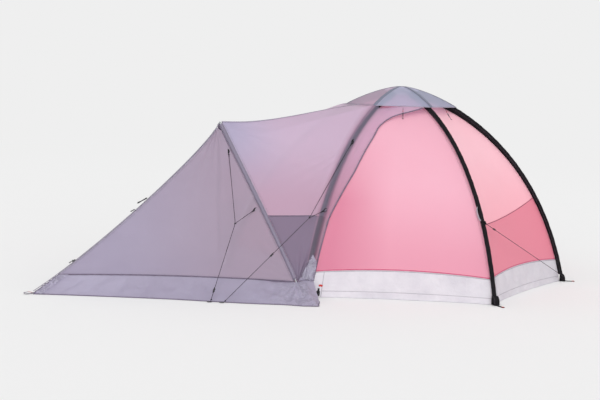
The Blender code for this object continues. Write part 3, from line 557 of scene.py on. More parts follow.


# Thin cloth: woven surface that lets light through, with mottling, ripstop threads and fine creases, and with painted
# pink glow, painted shade and painted crease highlights where the look asks for them.
def clothMaterial(name, look):
    made, tree = blankMaterial(name)
    uv = shade(tree, "UVMap", uv_map="clothUv")
    place = shade(tree, "TexCoord", out="Object")
    mottle = noiseAt(tree, place, look["mottleScale"], 4.0, Roughness=0.55)
    color = mixColors(tree, mapped(tree, mottle, 0.3, 0.7, 0.0, 1.0), look["color"], look["shade"])
    # far: painted pink glow towards the dome, along X; low: painted shade, darker lower down, along Z
    for label, axis, start, end in (("far", "X", 0.0, 1.0), ("low", "Z", 1.0, 0.0)):
        if label in look:
            part = shade(tree, "SeparateXYZ", {"Vector": place}, axis)
            part = mapped(tree, part, look[label + "From"], look[label + "To"], start, end, "SMOOTHSTEP")
            color = mixColors(tree, part, color, look[label])
    # Painted shade where the band fact is set: over the black pole sleeve under the cover, and beside the cover's lap
    # on the canopy
    if "band" in look:
        color = mixColors(tree, mapped(tree, factOf(tree, "band"), 0.0, 1.0, 0.0, 0.85), color, look["band"])
    # Where the double fact is set: on the pink canopy a painted shade over the foot-end liner behind; on the cover's
    # lower side a darker colour from the hoop to the front pole; on the cap a pinker colour over the front facet
    if "double" in look:
        color = mixColors(tree, factOf(tree, "double"), color, look["double"])
    # Painted shade and painted highlights of crumpled cloth
    if "ridgeHighlight" in look:
        color = crumpleShadeAndHighlight(tree, place, color, look)
    threads = brick(tree, uv, 1 / look["ripstop"], 0.05, 0.6, 1.0, 1.0, offset=0.0)
    color = mixColors(tree, mapped(tree, threads, 0.0, 1.0, 0.0, look["threadShare"]), color,
                      tuple(0.72 * part for part in look["color"]))
    crease = noiseAt(tree, place, look["creaseScale"], 3.0, Distortion=1.2)
    weave = brick(tree, uv, 1100.0, 0.12, 1.0, 0.5, 0.5)
    bump = bumped(tree, (look["creaseStrength"], 0.01, crease), (0.25, 0.0004, threads), (0.15, 0.0002, weave))
    rough = mapped(tree, mottle, 0.3, 0.7, look["roughness"] - 0.05, look["roughness"] + 0.08)
    surface = surfaceOf(tree, color, rough, bump, {"Specular IOR Level": look.get("specular", 0.4),
                                                   "Sheen Weight": look["sheen"]})
    through = mixColors(tree, 1.0, color, look["through"], "MULTIPLY")
    glow = shade(tree, "BsdfTranslucent", {"Color": through, "Normal": bump})
    shader = shade(tree, "MixShader", {0: look["throughShare"], 1: surface, 2: glow})
    if look["clear"]:
        share = look["clear"]
        if "lapClear" in look:
            share = mapped(tree, factOf(tree, "lap"), 0.0, 1.0, look["clear"], look["lapClear"])
        clear = shade(tree, "BsdfTransparent", {"Color": colorOf(look["through"])})
        shader = shade(tree, "MixShader", {0: share, 1: shader, 2: clear})
    shade(tree, "OutputMaterial", {"Surface": shader})
    return made


def webbingMaterial(name, look):
    made, tree = blankMaterial(name)
    uv = shade(tree, "UVMap", uv_map="clothUv")
    ribs = brick(tree, uv, look["ribs"], 0.10, 0.8, 1.0, 0.5)
    dust = noiseAt(tree, shade(tree, "TexCoord", out="Object"), 40.0, 5.0)
    color = mixColors(tree, mapped(tree, dust, 0.35, 0.75, 0.0, 1.0), look["color"], look["worn"])
    color = mixColors(tree, mapped(tree, ribs, 0.0, 1.0, 0.0, 0.5), color, tuple(0.5 * part for part in look["color"]))
    bump = bumped(tree, (0.6, 0.0006, ribs), (0.3, 0.003, dust))
    rough = mapped(tree, dust, 0.2, 0.8, look["roughness"] - 0.08, look["roughness"] + 0.1)
    surface = surfaceOf(tree, color, rough, bump, {"Specular IOR Level": look["specular"],
                                                   "Sheen Weight": 0.02})
    shade(tree, "OutputMaterial", {"Surface": surface})
    return made


def hardMaterial(name, look):
    made, tree = blankMaterial(name)
    place = shade(tree, "TexCoord", out="Object")
    grain = noiseAt(tree, place, look["grain"], 5.0, Roughness=0.6)
    wear = noiseAt(tree, place, look["wearScale"], 6.0, Roughness=0.7)
    color = mixColors(tree, mapped(tree, wear, 0.45, 0.75, 0.0, 1.0), look["color"], look["worn"])
    rough = mapped(tree, wear, 0.3, 0.7, look["roughness"], look["roughness"] + 0.18)
    surface = surfaceOf(tree, color, rough, bumped(tree, (0.25, 0.0004, grain)), {"Metallic": look["metal"]})
    shade(tree, "OutputMaterial", {"Surface": surface})
    return made


lilacLook = {"color": (0.435, 0.390, 0.515), "shade": (0.405, 0.360, 0.480), "through": (0.97, 0.93, 0.99),
         "throughShare": 0.30, "clear": 0.12, "mottleScale": 2.6, "ripstop": 0.006, "threadShare": 0.10,
         "creaseScale": 9.0, "creaseStrength": 0.10, "roughness": 0.50, "sheen": 0.12}
# Front panels: far is a painted pink glow towards the dome
frontLook = dict(lilacLook, far=(0.445, 0.360, 0.455), farFrom=-2.0, farTo=-1.15)
# Roof: far is a painted pink glow towards the dome, low a painted shade, darker and pinker lower down, band a painted
# shade where the cover lies on the black pole sleeve
roofLook = dict(lilacLook, color=(0.530, 0.490, 0.655), shade=(0.50, 0.460, 0.62), clear=0.06, lapClear=0.42,
            band=(0.25, 0.235, 0.33), far=(0.665, 0.525, 0.675), farFrom=-1.25, farTo=-0.85,
            low=(0.585, 0.395, 0.520), lowFrom=0.50, lowTo=0.92)
capLook = dict(lilacLook, color=(0.54, 0.585, 0.765), shade=(0.51, 0.555, 0.735), clear=0.28, double=(0.665, 0.530, 0.680))
# Pink canopy: low is a painted shade, darker lower down; double a painted shade over the foot-end liner behind; band a
# painted shadow of the cover's lap beside the front poles
pinkLook = {"color": (0.98, 0.535, 0.66), "shade": (0.97, 0.50, 0.625), "through": (1.0, 0.82, 0.87),
        "throughShare": 0.28, "clear": 0.0, "mottleScale": 1.7, "ripstop": 0.006, "threadShare": 0.05,
        "creaseScale": 7.0, "creaseStrength": 0.06, "roughness": 0.52, "sheen": 0.10, "low": (0.90, 0.385, 0.51),
        "lowFrom": 0.16, "lowTo": 0.70, "double": (0.74, 0.225, 0.315), "band": (0.76, 0.235, 0.36)}
# The skirt's light crease colour is a painted highlight on crumpled cloth
skirtLook = dict(lilacLook, ridgeHighlight=(0.74, 0.71, 0.82), color=(0.50, 0.465, 0.60), shade=(0.42, 0.38, 0.50),
                  creaseScale=22.0, creaseStrength=0.30, clear=0.05)
clothLooks = {
    "lilacCloth": frontLook,
    "roofCloth": roofLook,
    "capCloth": capLook,
    # Lower side of the cover: far is a painted pink glow towards the dome, low a painted shade lower down, band a
    # painted shade where the cover lies on the black pole sleeve, and double a darker colour from the hoop to the front
    # pole
    "sideCloth": dict(roofLook, color=(0.48, 0.42, 0.55), shade=(0.45, 0.39, 0.52), far=(0.53, 0.385, 0.49),
                      low=(0.50, 0.345, 0.45), double=(0.245, 0.195, 0.285), lapClear=0.30, band=(0.14, 0.125, 0.18)),
    "pinkCloth": pinkLook,
    "tubCloth": {"color": (0.80, 0.78, 0.83), "shade": (0.70, 0.68, 0.74), "through": (0.95, 0.94, 0.98),
                 "throughShare": 0.20, "clear": 0.0, "mottleScale": 9.0, "ripstop": 0.008, "threadShare": 0.08,
                 "creaseScale": 26.0, "creaseStrength": 0.35, "roughness": 0.36, "sheen": 0.05},
    # Painted light: a lighter copy of the pink cloth for the left rear facet, which also lets less light through
    "sunnyCloth": dict(pinkLook, color=(0.98, 0.570, 0.650), shade=(0.97, 0.530, 0.610), low=(0.95, 0.400, 0.480),
                       lowTo=0.95, throughShare=0.12, double=(0.80, 0.235, 0.320)),
    "linerCloth": dict(pinkLook, color=(0.86, 0.36, 0.47), shade=(0.82, 0.32, 0.43)),
    "skirtCloth": skirtLook,
    "capBand": dict(capLook, color=(0.26, 0.28, 0.38), shade=(0.23, 0.25, 0.34), clear=0.0),
    "hoopCloth": dict(skirtLook, color=(0.33, 0.285, 0.385), shade=(0.28, 0.245, 0.33), clear=0.0),
    "blackCloth": {"color": (0.010, 0.009, 0.011), "shade": (0.018, 0.016, 0.019), "through": (0.5, 0.5, 0.5),
                   "throughShare": 0.02, "clear": 0.0, "mottleScale": 30.0, "ripstop": 0.004, "threadShare": 0.2,
                   "creaseScale": 60.0, "creaseStrength": 0.35, "roughness": 0.75, "sheen": 0.0, "specular": 0.06},
}
# Colour, worn colour, ribs in a metre, roughness, specular
webbingLooks = {
    "blackWebbing": ((0.018, 0.017, 0.020), (0.040, 0.038, 0.044), 400.0, 0.70, 0.08),
    "redWebbing": ((0.62, 0.03, 0.03), (0.70, 0.10, 0.09), 400.0, 0.66, 0.25),
    "pinkTape": ((0.70, 0.13, 0.24), (0.78, 0.20, 0.31), 500.0, 0.62, 0.25),
    "lilacTape": ((0.40, 0.36, 0.45), (0.48, 0.44, 0.54), 500.0, 0.62, 0.25),
    "linerTape": ((0.30, 0.07, 0.12), (0.38, 0.11, 0.17), 500.0, 0.66, 0.25),
    "tubTape": ((0.52, 0.49, 0.55), (0.60, 0.57, 0.63), 500.0, 0.60, 0.25),
    "threadCotton": ((0.20, 0.17, 0.23), (0.30, 0.26, 0.33), 2000.0, 0.7, 0.25),
    "greyTape": ((0.16, 0.13, 0.19), (0.22, 0.18, 0.25), 500.0, 0.70, 0.25),
    "cordWeave": ((0.024, 0.022, 0.027), (0.06, 0.055, 0.065), 900.0, 0.75, 0.1),
}
# Colour, worn colour, scale of the grain, scale of the wear, roughness, metal
hardLooks = {
    "blackPlastic": ((0.012, 0.012, 0.014), (0.035, 0.035, 0.040), 900.0, 60.0, 0.38, 0.0),
    "zipPlastic": ((0.16, 0.15, 0.18), (0.24, 0.22, 0.27), 900.0, 80.0, 0.42, 0.0),
    "poleAlloy": ((0.50, 0.51, 0.54), (0.32, 0.33, 0.36), 1500.0, 25.0, 0.26, 1.0),
}
paint = {name: clothMaterial(name, look) for name, look in clothLooks.items()}
for name, values in webbingLooks.items():
    paint[name] = webbingMaterial(name, dict(zip(("color", "worn", "ribs", "roughness", "specular"), values)))
for name, values in hardLooks.items():
    paint[name] = hardMaterial(name, dict(zip(("color", "worn", "grain", "wearScale", "roughness", "metal"), values)))
print("materials made")

# Shapes of the fittings

# A bar with round corners, turned like the frame's own pieces
def softBar(centre, along, across, sizes, material):
    along, across = unit(along), unit(across)
    x, y = circle(24).T
    flat = np.stack((np.sign(x) * np.abs(x) ** 0.4 * sizes[0] / 2, np.sign(y) * np.abs(y) ** 0.4 * sizes[1] / 2), -1)
    outline = centre + flat[:, :1] * along + flat[:, 1:] * across
    return puffed("slider", outline, np.cross(along, across), sizes[2], material, 3.4)


def beadedRod(path, radii, material, sides=14):
    radii = np.interp(np.linspace(0, 1, len(path)), np.linspace(0, 1, len(radii)), radii)
    return sweepProfile("rod", path, (0.13, 0.21, 0.97), radii[:, None, None] * circle(sides), material)


# Rings, knots and hooks are round cords of this many sides swept along a path
def cordAlong(path, outward, radius, material, sides=8):
    return sweepProfile("cord", path, outward, circle(sides, radius), material)


def ringAt(centre, normal, radius, thick, material):
    normal = unit(normal)
    first = unit(np.cross(normal, (0.3, 0.9, 0.31)))
    x, y = circle(29, closed=True).T[..., None]
    path = centre + radius * (x * first + y * np.cross(normal, first))
    return cordAlong(path, path - centre + 0.001 * normal, thick, material)


def knotAt(centre, along, size, thick, material):
    along = unit(along)
    first = unit(np.cross(along, (0.2, 0.1, 0.97)))
    second = np.cross(along, first)
    turns = np.linspace(0, math.tau, 43)[:, None]
    path = centre + size * ((np.sin(turns) + 2 * np.sin(2 * turns)) * first * 0.33
                            + (np.cos(turns) - 2 * np.cos(2 * turns)) * second * 0.33
                            + np.sin(3 * turns) * along * 0.45)
    return cordAlong(path, along, thick, material, 7)


def fitting(name, pieces, body, replaced):
    made = joinPieces(name, pieces) if len(pieces) > 1 else pieces[0]
    made.name = name
    return attach(made, body, replaced)


def middleOf(node):
    low, high = (np.array(corner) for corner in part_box(node))
    return (low + high) / 2


def runFrom(start, way, first, last, count):
    return start + np.outer(np.linspace(first, last, count), way)


# Guy lines: the routes lie where the frame's cords lie

guys = {
    "diameter": 0.003, "pointsInMetre": 36,
    "hoop": ((-1.2582, -0.1006, 0.8027), (-1.317, -0.354, 0.417), (-1.532, -0.526, 0.004)),
    "hoopBranch": ((-1.1784, -0.3055, 0.4837), (-1.3137, -0.3528, 0.4186)),
    "frontPole": ((-0.5541, -0.3391, 0.8831), (-0.5938, -0.3599, 0.8418), (-0.6679, -0.3963, 0.7577),
                  (-0.7371, -0.4240, 0.6718), (-0.917, -0.512, 0.459), (-1.470, -0.569, 0.004)),
    "frontPoleBranch": ((-0.8084, -0.4798, 0.4930), (-0.9111, -0.5103, 0.4608)),
    "sidePole": ((0.0106, -0.9550, 0.4565), (0.9527, -0.5765, 0.0278)),
}
guyLoop = {"reach": 0.013, "back": 0.016, "tape": (0.0110, 0.0018), "knot": (0.0042, 0.0014),
           "wrap": (0.0022, 0.0027, 0.0027, 0.0022)}
branchKnot, groundRing, groundKnot = (0.0050, 0.0015), (0.0125, 0.0014), (0.0038, 0.0013)
barrel = {"half": 0.0125, "strandHalf": 0.020, "strandOff": 0.0042, "strand": 0.0014,
          "radii": (0.0024, 0.0048, 0.0056, 0.0044, 0.0040, 0.0044, 0.0056, 0.0048, 0.0024)}


def guyLine(name, node, route):
    route = np.array(guys[route], float)
    path = spacedPath(route, max(15, round(pathLength(route) * guys["pointsInMetre"])))
    line = sweepProfile(name, path, (0.3, -1, 0.2), circle(8, guys["diameter"] / 2), "cordWeave")
    attach(line, "tent", [node])


# A tensioner: a waisted barrel, with the doubled cord lying along its side
def tensionerAt(node, route):
    first, last = np.array(guys[route][-2:], float)
    along = unit(last - first)
    centre = first + along * float((middleOf(node) - first) @ along)
    body = beadedRod(runFrom(centre, along, -barrel["half"], barrel["half"], 34), barrel["radii"],
                     "blackPlastic", 16)
    side = unit(np.cross(along, up))
    strand = runFrom(centre + barrel["strandOff"] * side, along, -barrel["strandHalf"], barrel["strandHalf"], 24)
    strand += (0.0024 * np.cos(np.linspace(-2.2, 2.2, 24)) - 0.0010)[:, None] * side
    second = cordAlong(strand, up, barrel["strand"], "cordWeave")
    return fitting(node + "_barrel", [body, second], node, [node])


# What holds a guy line: a loop of webbing with a knot, a knot where its branch joins, a loop at the stake
def tiedPieces(route, joint=None, stake=True):
    points = np.array(guys[route], float)
    start, along = points[0], unit(points[1] - points[0])
    turns = np.linspace(-2.7, 2.7, 30)[:, None]
    band = start + guyLoop["reach"] * ((0.2 + np.cos(turns)) * along + 0.75 * np.sin(turns) * up)
    band = band - guyLoop["back"] * along
    pieces = [tape(band, unit(band - band.mean(0)), guyLoop["tape"], "blackWebbing"),
              knotAt(start + 0.007 * along, along, *guyLoop["knot"], "cordWeave"),
              beadedRod(runFrom(start, along, 0.010, 0.022, 12), guyLoop["wrap"], "cordWeave", 10)]
    if joint is not None:
        pieces.append(knotAt(points[joint], points[joint + 1] - points[joint], *branchKnot, "cordWeave"))
    if stake:
        end, back = points[-1], unit(points[-2] - points[-1])
        flat = unit(-back * flatten)
        pieces.append(ringAt(end + 0.013 * flat + 0.0002 * up, up, *groundRing, "cordWeave"))
        pieces.append(knotAt(end + 0.012 * back, -back, *groundKnot, "cordWeave"))
    return fitting(route + "_ties", pieces, "tent", [])


tensioners = {node: tensionerAt(node, route) for node, route in (
    ("tensioner_hoop", "hoop"), ("tensioner_front_pole", "frontPole"), ("tensioner_side_pole", "sidePole"))}
for name, node, route, farEnd, joint, stake, tensioner in (
        ("guy_hoop", "guy_line_hoop", "hoop", "knot", 1, True, "tensioner_hoop"),
        ("guy_hoop_branch", "guy_line_hoop_branch", "hoopBranch", "object", None, False, None),
        ("guy_front", "guy_line_front_pole", "frontPole", "knot", 4, True, "tensioner_front_pole"),
        ("guy_front_branch", "guy_line_front_pole_branch", "frontPoleBranch", "object", None, False, None),
        ("guy_side", "guy_line_side_pole", "sidePole", "object", None, False, "tensioner_side_pole")):
    ties = [tiedPieces(route, joint, stake)] + ([tensioners[tensioner]] if tensioner else [])
    guyLine(name, node, route)
print("guy lines laid")


# Cloth of the dome

seams = {"tent": [], "vestibule_door": [], "inner_door": []}


def noiseOver(points, size, shift, squeeze=(1.0, 1.0, 1.0)):
    values = [noise.noise(Vector(point * squeeze) / size + shift) for point in points.reshape(-1, 3)]
    return np.array(values).reshape(points.shape[:2])


def wavy(points, normals, size, depth, seed, squeeze=(1.0, 1.0, 1.0)):
    values = noiseOver(points, size, Vector((seed * 3.1, seed * 1.7, seed * 5.3)), squeeze)
    return points + (depth * values)[..., None] * normals


# Sharp-edged creases of crumpled cloth
def crumpled(points, normals, size, depth, seed):
    values = np.abs(noiseOver(points, size, Vector((seed * 2.3, seed * 4.1, seed * 1.9))))
    return points + (depth * (0.35 - values))[..., None] * normals


def edgeFade(shape, reach=0.12):
    fades = []
    for count in shape[:2]:
        part = np.linspace(0, 1, count)
        part = np.clip(np.minimum(part, 1 - part) / reach, 0, 1)
        fades.append(part * (2 - part))
    return np.outer(*fades)[..., None]


# Pull lines that fan out from a place where the cloth is held
def pullLines(points, normals, held, toward, depth, reach, lines, spreadDeg):
    away = points - np.asarray(held, float)
    distance = np.linalg.norm(away, axis=-1)
    way = unit(toward)
    side = unit(np.cross(way, normals.mean((0, 1))))
    turn = np.arctan2((away * side).sum(-1), (away * way).sum(-1)) / math.radians(spreadDeg)
    ripple = np.sin(turn * lines * math.pi + 1.3) * np.clip(1 - np.abs(turn), 0, 1)
    fade = np.clip(distance / 0.03, 0, 1) * np.exp(-distance / reach)
    return points + (depth * ripple * fade)[..., None] * normals


def dress(piece, body, replaced, trims=()):
    attach(piece, body, replaced)
    sewn = [attach(joinPieces(piece.name + "_trim", list(trims)), body, [])] if trims else []


# Lines of stitches beside edges of a grid, each given with its distance in from that edge
def stitchLines(body, grid, normals, edges, trim=0.012):
    lines = {"first row": (grid[0], grid[1], normals[0]), "last row": (grid[-1], grid[-2], normals[-1]),
             "first column": (grid[:, 0], grid[:, 1], normals[:, 0]),
             "last column": (grid[:, -1], grid[:, -2], normals[:, -1])}
    for edge, inset in edges.items():
        path, inner, normal = lines[edge]
        path = path + unit(inner - path) * inset + 0.0011 * normal
        lengths = lengthsAlong(path)
        kept = (lengths > trim) & (lengths < lengths[-1] - trim)
        if kept.sum() > 2:
            seams[body].append(path[kept])


def tubTopShare(across):
    return shareAtHeight(dome["tubHeight"] + dome["tubRise"] * 4 * across * (1 - across))


def trimmed(across, share, trim=0.0006):
    part = trim / radiusAt(share)
    return part + (1 - 2 * part) * across


liner = {"low": 0.448, "high": 0.550, "gap": 0.0053, "arch": 0.030, "cut": (3.3, 0.5)}


def linerTop(facet, across):
    ends = {1: (liner["low"], liner["high"]), 2: (liner["high"], liner["high"]), 3: (liner["high"], liner["low"])}
    low, high = ends[facet]
    arch = 0 if facet == 2 else liner["arch"] * 4 * across * (1 - across)
    return low + (high - low) * across - arch


canopy = {"rows": 56, "columns": 40, "linerRows": 24, "wave": (0.35, 0.005), "pull": (0.003, 0.22, 4, 34),
          "hem": (0.007, 0.0010), "linerSeam": (0.0040, 0.0008), "bandEdge": 0.10, "bandWidth": 0.33,
          "bandTop": 0.95, "bandFade": 0.40}
poleSeams = {"first column": 0.016, "last column": 0.016}
crownShare = shareAtRadius(dome["crownHole"])
for facet in range(5):
    across = np.linspace(0, 1, canopy["columns"])
    facts = {}
    foot = tubTopShare(across)
    if facet in (1, 2, 3):
        edge = shareAtHeight(linerTop(facet, across))
        lower = foot + (edge - foot) * np.linspace(0, 1, canopy["linerRows"])[:, None]
        upper = np.linspace(0.004, 1, canopy["rows"] - canopy["linerRows"] + 1)[:, None]
        share = np.concatenate((lower, edge + (crownShare - edge) * upper))
        # The double fact marks the rows over the foot-end liner, where the colour takes a painted shade
        facts["double"] = np.arange(len(share))[:, None] < canopy["linerRows"]
    else:
        share = foot + (crownShare - foot) * np.linspace(0, 1, canopy["rows"])[:, None]
    outward = facetWay(facet) + 0.5 * up
    grid = canopyPoint(facet, trimmed(across, share), share)
    normals = facing(grid, outward)
    inner = normals * edgeFade(grid.shape)
    middle = grid[len(grid) // 2, canopy["columns"] // 2]
    grid = wavy(grid, inner, *canopy["wave"], facet + 1)
    for column in (0, -1):
        grid = pullLines(grid, inner, grid[0, column], middle - grid[0, column], *canopy["pull"])
    # Painted shadow of the cover's lap: the band fact darkens the canopy beside the lap near the front poles, lower
    # down
    if facet in (0, 4):
        fromCover = across if facet == 0 else 1 - across
        facts["band"] = (np.clip(1 - (fromCover - canopy["bandEdge"]) / canopy["bandWidth"], 0, 1)
                         * np.clip((canopy["bandTop"] - heightAt(share)) / canopy["bandFade"], 0, 1))
    panel = clothSheet("canopy_" + facetNames[facet], grid, "sunnyCloth" if facet == 1 else "pinkCloth",
                       outward=outward, facts=facts)
    trims = [tape(grid[0], normals[0], canopy["hem"], "pinkTape", 0.0008)]
    if "double" in facts:
        row = canopy["linerRows"] - 1
        trims.append(tape(grid[row], normals[row], canopy["linerSeam"], "linerTape", 0.0007))
    stitchLines("tent", grid, normals, {**poleSeams, "first row": 0.0002})
    dress(panel, "tent", ["canopy_panel_" + facetNames[facet]],
          trims=trims)

# Front panel with its doorway, and the door that fills it
doorway = {"low": 0.235, "high": 0.860, "side": 0.20, "gap": 0.0018, "rows": 36, "columns": 30, "tape": (0.012, 0.0010),
           "wave": (0.22, 0.004), "stitch": 0.009, "teethLift": 0.0018}
frontWay = facetWay(5) + 0.5 * up
doorShares = np.linspace(shareAtHeight(doorway["low"]), shareAtHeight(doorway["high"]), doorway["rows"])
across = np.concatenate((np.linspace(0, doorway["side"], 9),
                         np.linspace(doorway["side"], 1 - doorway["side"], doorway["columns"])[1:],
                         np.linspace(1 - doorway["side"], 1, 9)[1:]))
foot = tubTopShare(across)
lower = foot + (doorShares[0] - foot) * np.linspace(0, 1, 6)[:-1, None]
upper = np.concatenate((doorShares, np.linspace(doorShares[-1], crownShare, 26)[1:]))
share = np.concatenate((lower, np.repeat(upper[:, None], len(across), 1)))
grid = canopyPoint(5, trimmed(across, share), share)
normals = facing(grid, frontWay)
keep = np.ones((grid.shape[0] - 1, grid.shape[1] - 1), bool)
keep[5:40, 8:37] = False
panel = clothSheet("canopy_front", grid, "pinkCloth", keep=keep, outward=frontWay)
stitchLines("tent", grid, normals, poleSeams)
trims = [tape(grid[rows, columns], normals[rows, columns], doorway["tape"], "pinkTape", 0.0008)
         for rows, columns in ((slice(5, 41), 8), (slice(5, 41), 37), (40, slice(8, 38)), (5, slice(8, 38)))]
trims.append(tape(grid[0], normals[0], canopy["hem"], "pinkTape", 0.0008))
dress(panel, "tent", ["canopy_panel_front"], trims=trims)
zipLine, zipNormals = (np.concatenate((part[5:40, 8], part[40, 8:38], part[39:4:-1, 37]))
                       for part in (grid, normals))
zipSide = unit(np.cross(np.gradient(zipLine, axis=0), zipNormals))
zipRuns = {"inner_door_zip_teeth": (zipLine + doorway["teethLift"] * zipNormals, zipSide)}

doorRows = np.linspace(shareAtHeight(doorway["low"] + doorway["gap"]), shareAtHeight(doorway["high"] - doorway["gap"]),
                       doorway["rows"])[:, None]
inset = 2 * doorway["gap"] / radiusAt(doorRows)
doorAcross = doorway["side"] + inset + (1 - 2 * doorway["side"] - 2 * inset) * np.linspace(0, 1, doorway["columns"])
grid = canopyPoint(5, doorAcross, doorRows)
normals = facing(grid, frontWay)
grid = wavy(grid, normals * edgeFade(grid.shape), *doorway["wave"], 12)
innerDoor = clothSheet("inner_door_cloth", grid, "pinkCloth", outward=frontWay)
stitchLines("inner_door", grid, normals, dict.fromkeys(("first row", "last row", "first column", "last column"),
                                                       doorway["stitch"]))
dress(innerDoor, "inner_door", ["inner_door"])

# Tub, groundsheet, foot-end liner, crown patch
tub = {"rows": 22, "columns": 64, "wave": (0.09, 0.0035), "crumple": (0.05, 0.0022), "rougher": 2.6,
       "tapes": ((0.0048, 0.0008), (0.0040, 0.0007), (0.0036, 0.0007)), "stitch": 0.010}
for facet in range(6):
    across = np.linspace(0, 1, tub["columns"])
    grid = canopyPoint(facet, across, tubTopShare(across) * np.linspace(0, 1, tub["rows"])[:, None])
    grid[..., 2] = np.maximum(grid[..., 2], 0.0004)
    normals = facing(grid, facetWay(facet))
    inner = normals * edgeFade(grid.shape, 0.1)
    size, depth = tub["crumple"]
    grid = wavy(grid, inner, *tub["wave"], facet + 21)
    grid = crumpled(grid, inner, size, depth * (tub["rougher"] if facet in (1, 2, 3) else 1.0), facet + 71)
    wall = clothSheet("tub_" + facetNames[facet], grid, "tubCloth", outward=facetWay(facet))
    lines = ((grid[-2], normals[-2]), (grid[:, 5], normals[:, 5]), (grid[5, 5:], normals[5, 5:]))
    trims = [tape(*line, sizes, "tubTape", 0.0006) for line, sizes in zip(lines, tub["tapes"])]
    stitchLines("tent", grid, normals, {"last row": tub["stitch"]})
    dress(wall, "tent", ["tub_wall"] if facet == 0 else [],
          trims=trims)

rim = np.concatenate([canopyPoint(facet, np.linspace(0, 1, 21)[:-1], 0.0) for facet in range(6)])
grid = rim * flatten * np.linspace(1.0, 0.02, 24)[:, None, None] + 0.0012 * up
grid = np.concatenate((grid, grid[:, :1]), 1)
grid = wavy(grid, up, 0.16, 0.0008, 31)
grid[..., 2] = np.maximum(grid[..., 2], 0.0006)
ground = clothSheet("groundsheet_cloth", grid, "tubCloth", outward=up)
dress(ground, "tent", ["groundsheet"])

pieces = []
for facet in (1, 2, 3):
    across = np.linspace(0, 1, 24)
    foot = heightAt(tubTopShare(across))
    height = foot + (linerTop(facet, across) - foot) * np.linspace(0, 1, 20)[:, None]
    grid = canopyPoint(facet, across, shareAtHeight(height), -0.002 - liner["gap"])
    pieces.append(clothSheet("liner_part", grid, "linerCloth", outward=facetWay(facet)))
dress(joinPieces("foot_end_liner_cloth", pieces), "tent", ["foot_end_liner"])

crownPatch = {"radius": 0.0455, "above": 0.001, "dome": 0.0012}
x, y = np.cos(np.radians(np.arange(0, 361, 10))), np.sin(np.radians(np.arange(0, 361, 10)))
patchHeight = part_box("crown_patch")[0].z + crownPatch["above"]
grid = np.stack([np.stack((crownPatch["radius"] * part * x, crownPatch["radius"] * part * y,
                           patchHeight + crownPatch["dome"] * (1 - part) + 0 * x), -1)
                 for part in np.linspace(1, 0.05, 8)])
patch = clothSheet("crown_patch_cloth", grid, "pinkCloth", outward=up)
dress(patch, "tent", ["crown_patch"])
print("dome cloth hung")

# Pole sleeves: a teardrop of cloth round each pole, pulled down to the canopy, with a cuff at its ends
sleeveFold = {"sides": 20, "pucker": 0.0006}
sleeve = {"radius": 0.0126, "stations": 190, "cuff": (0.0132, 0.0012), "seams": (0.0118, -0.0052), "cuffsAt": (1, -2),
          "cloth": "blackCloth", "cuffCloth": "blackWebbing", "slots": ("black_webbing", "black_webbing")}
hoopSleeve = {"radius": 0.0119, "stations": 150, "cuff": (0.0124, 0.0014), "seams": (0.0112, 0.0042), "cuffsAt": (-2,),
              "cloth": "hoopCloth", "cuffCloth": "greyTape", "slots": ("lilac_cloth", "dark_lilac_cloth"),
              "drop": 0.0012, "outward": (-0.4, -0.5, 0.6)}


def sleeveProfiles(stations, radius, drop):
    turns = np.linspace(0, math.tau, sleeveFold["sides"], endpoint=False)
    x, y = np.cos(turns), np.sin(turns)
    along = np.arange(stations)[:, None]
    pucker = np.sin(along * 1.35 + 2.0 * np.sin(turns + along * 0.05)) + np.sin(along * 0.61 + turns)
    girth = radius + 0.7 * sleeveFold["pucker"] * pucker
    pulled = np.clip(-y - 0.55, 0, 1) / 0.45
    return np.stack((girth * x * (1 - 0.75 * pulled**1.5), girth * y - drop * pulled**2), -1)


def clothSleeve(name, cuffName, look, path, outward, side, drop, node):
    profiles = sleeveProfiles(len(path), look["radius"], drop)
    tube = sweepProfile(name, path, outward, profiles, look["cloth"], closed=False)
    attach(tube, "tent", [node])
    cuffs = []
    for station in look["cuffsAt"]:
        x, y = circle(25, closed=True).T[..., None]
        ring = path[station] + look["cuff"][0] * (x * side[station] + y * outward[station])
        cuffs.append(sweepProfile(cuffName, ring, ring - path[station], circle(8, look["cuff"][1], 0.8),
                                  look["cuffCloth"]))
    cuffs = attach(joinPieces(cuffName, cuffs) if len(cuffs) > 1 else cuffs[0], "tent", [])
    aside, out = look["seams"]
    seams["tent"] += [path + way * aside * side + out * outward for way in (-1, 1)]


for corner, name in enumerate(cornerNames):
    rise = crossingRise(corner)
    shares = np.linspace(shareAtHeight(dome["sleeveStart"]), shareAtRadius(dome["sleeveEnd"]), sleeve["stations"])
    path = polePoint(corner, shares, 0.0, rise)
    outward = polePoint(corner, shares, 1.0, rise) - path
    side = unit(np.cross(np.gradient(path, axis=0), outward))
    seat = polePoint(corner, shares, -dome["seat"], -dome["poleStep"])
    drop = np.linalg.norm(seat - path, axis=1) - sleeve["radius"] + 0.0004
    clothSleeve("sleeve_" + name, "sleeve_cuffs_" + name, sleeve, path, outward, side, drop[:, None],
                "pole_sleeve_" + name)
print("pole sleeves sewn")


# Cover: roof and lower sides, from the hoop back over the front poles

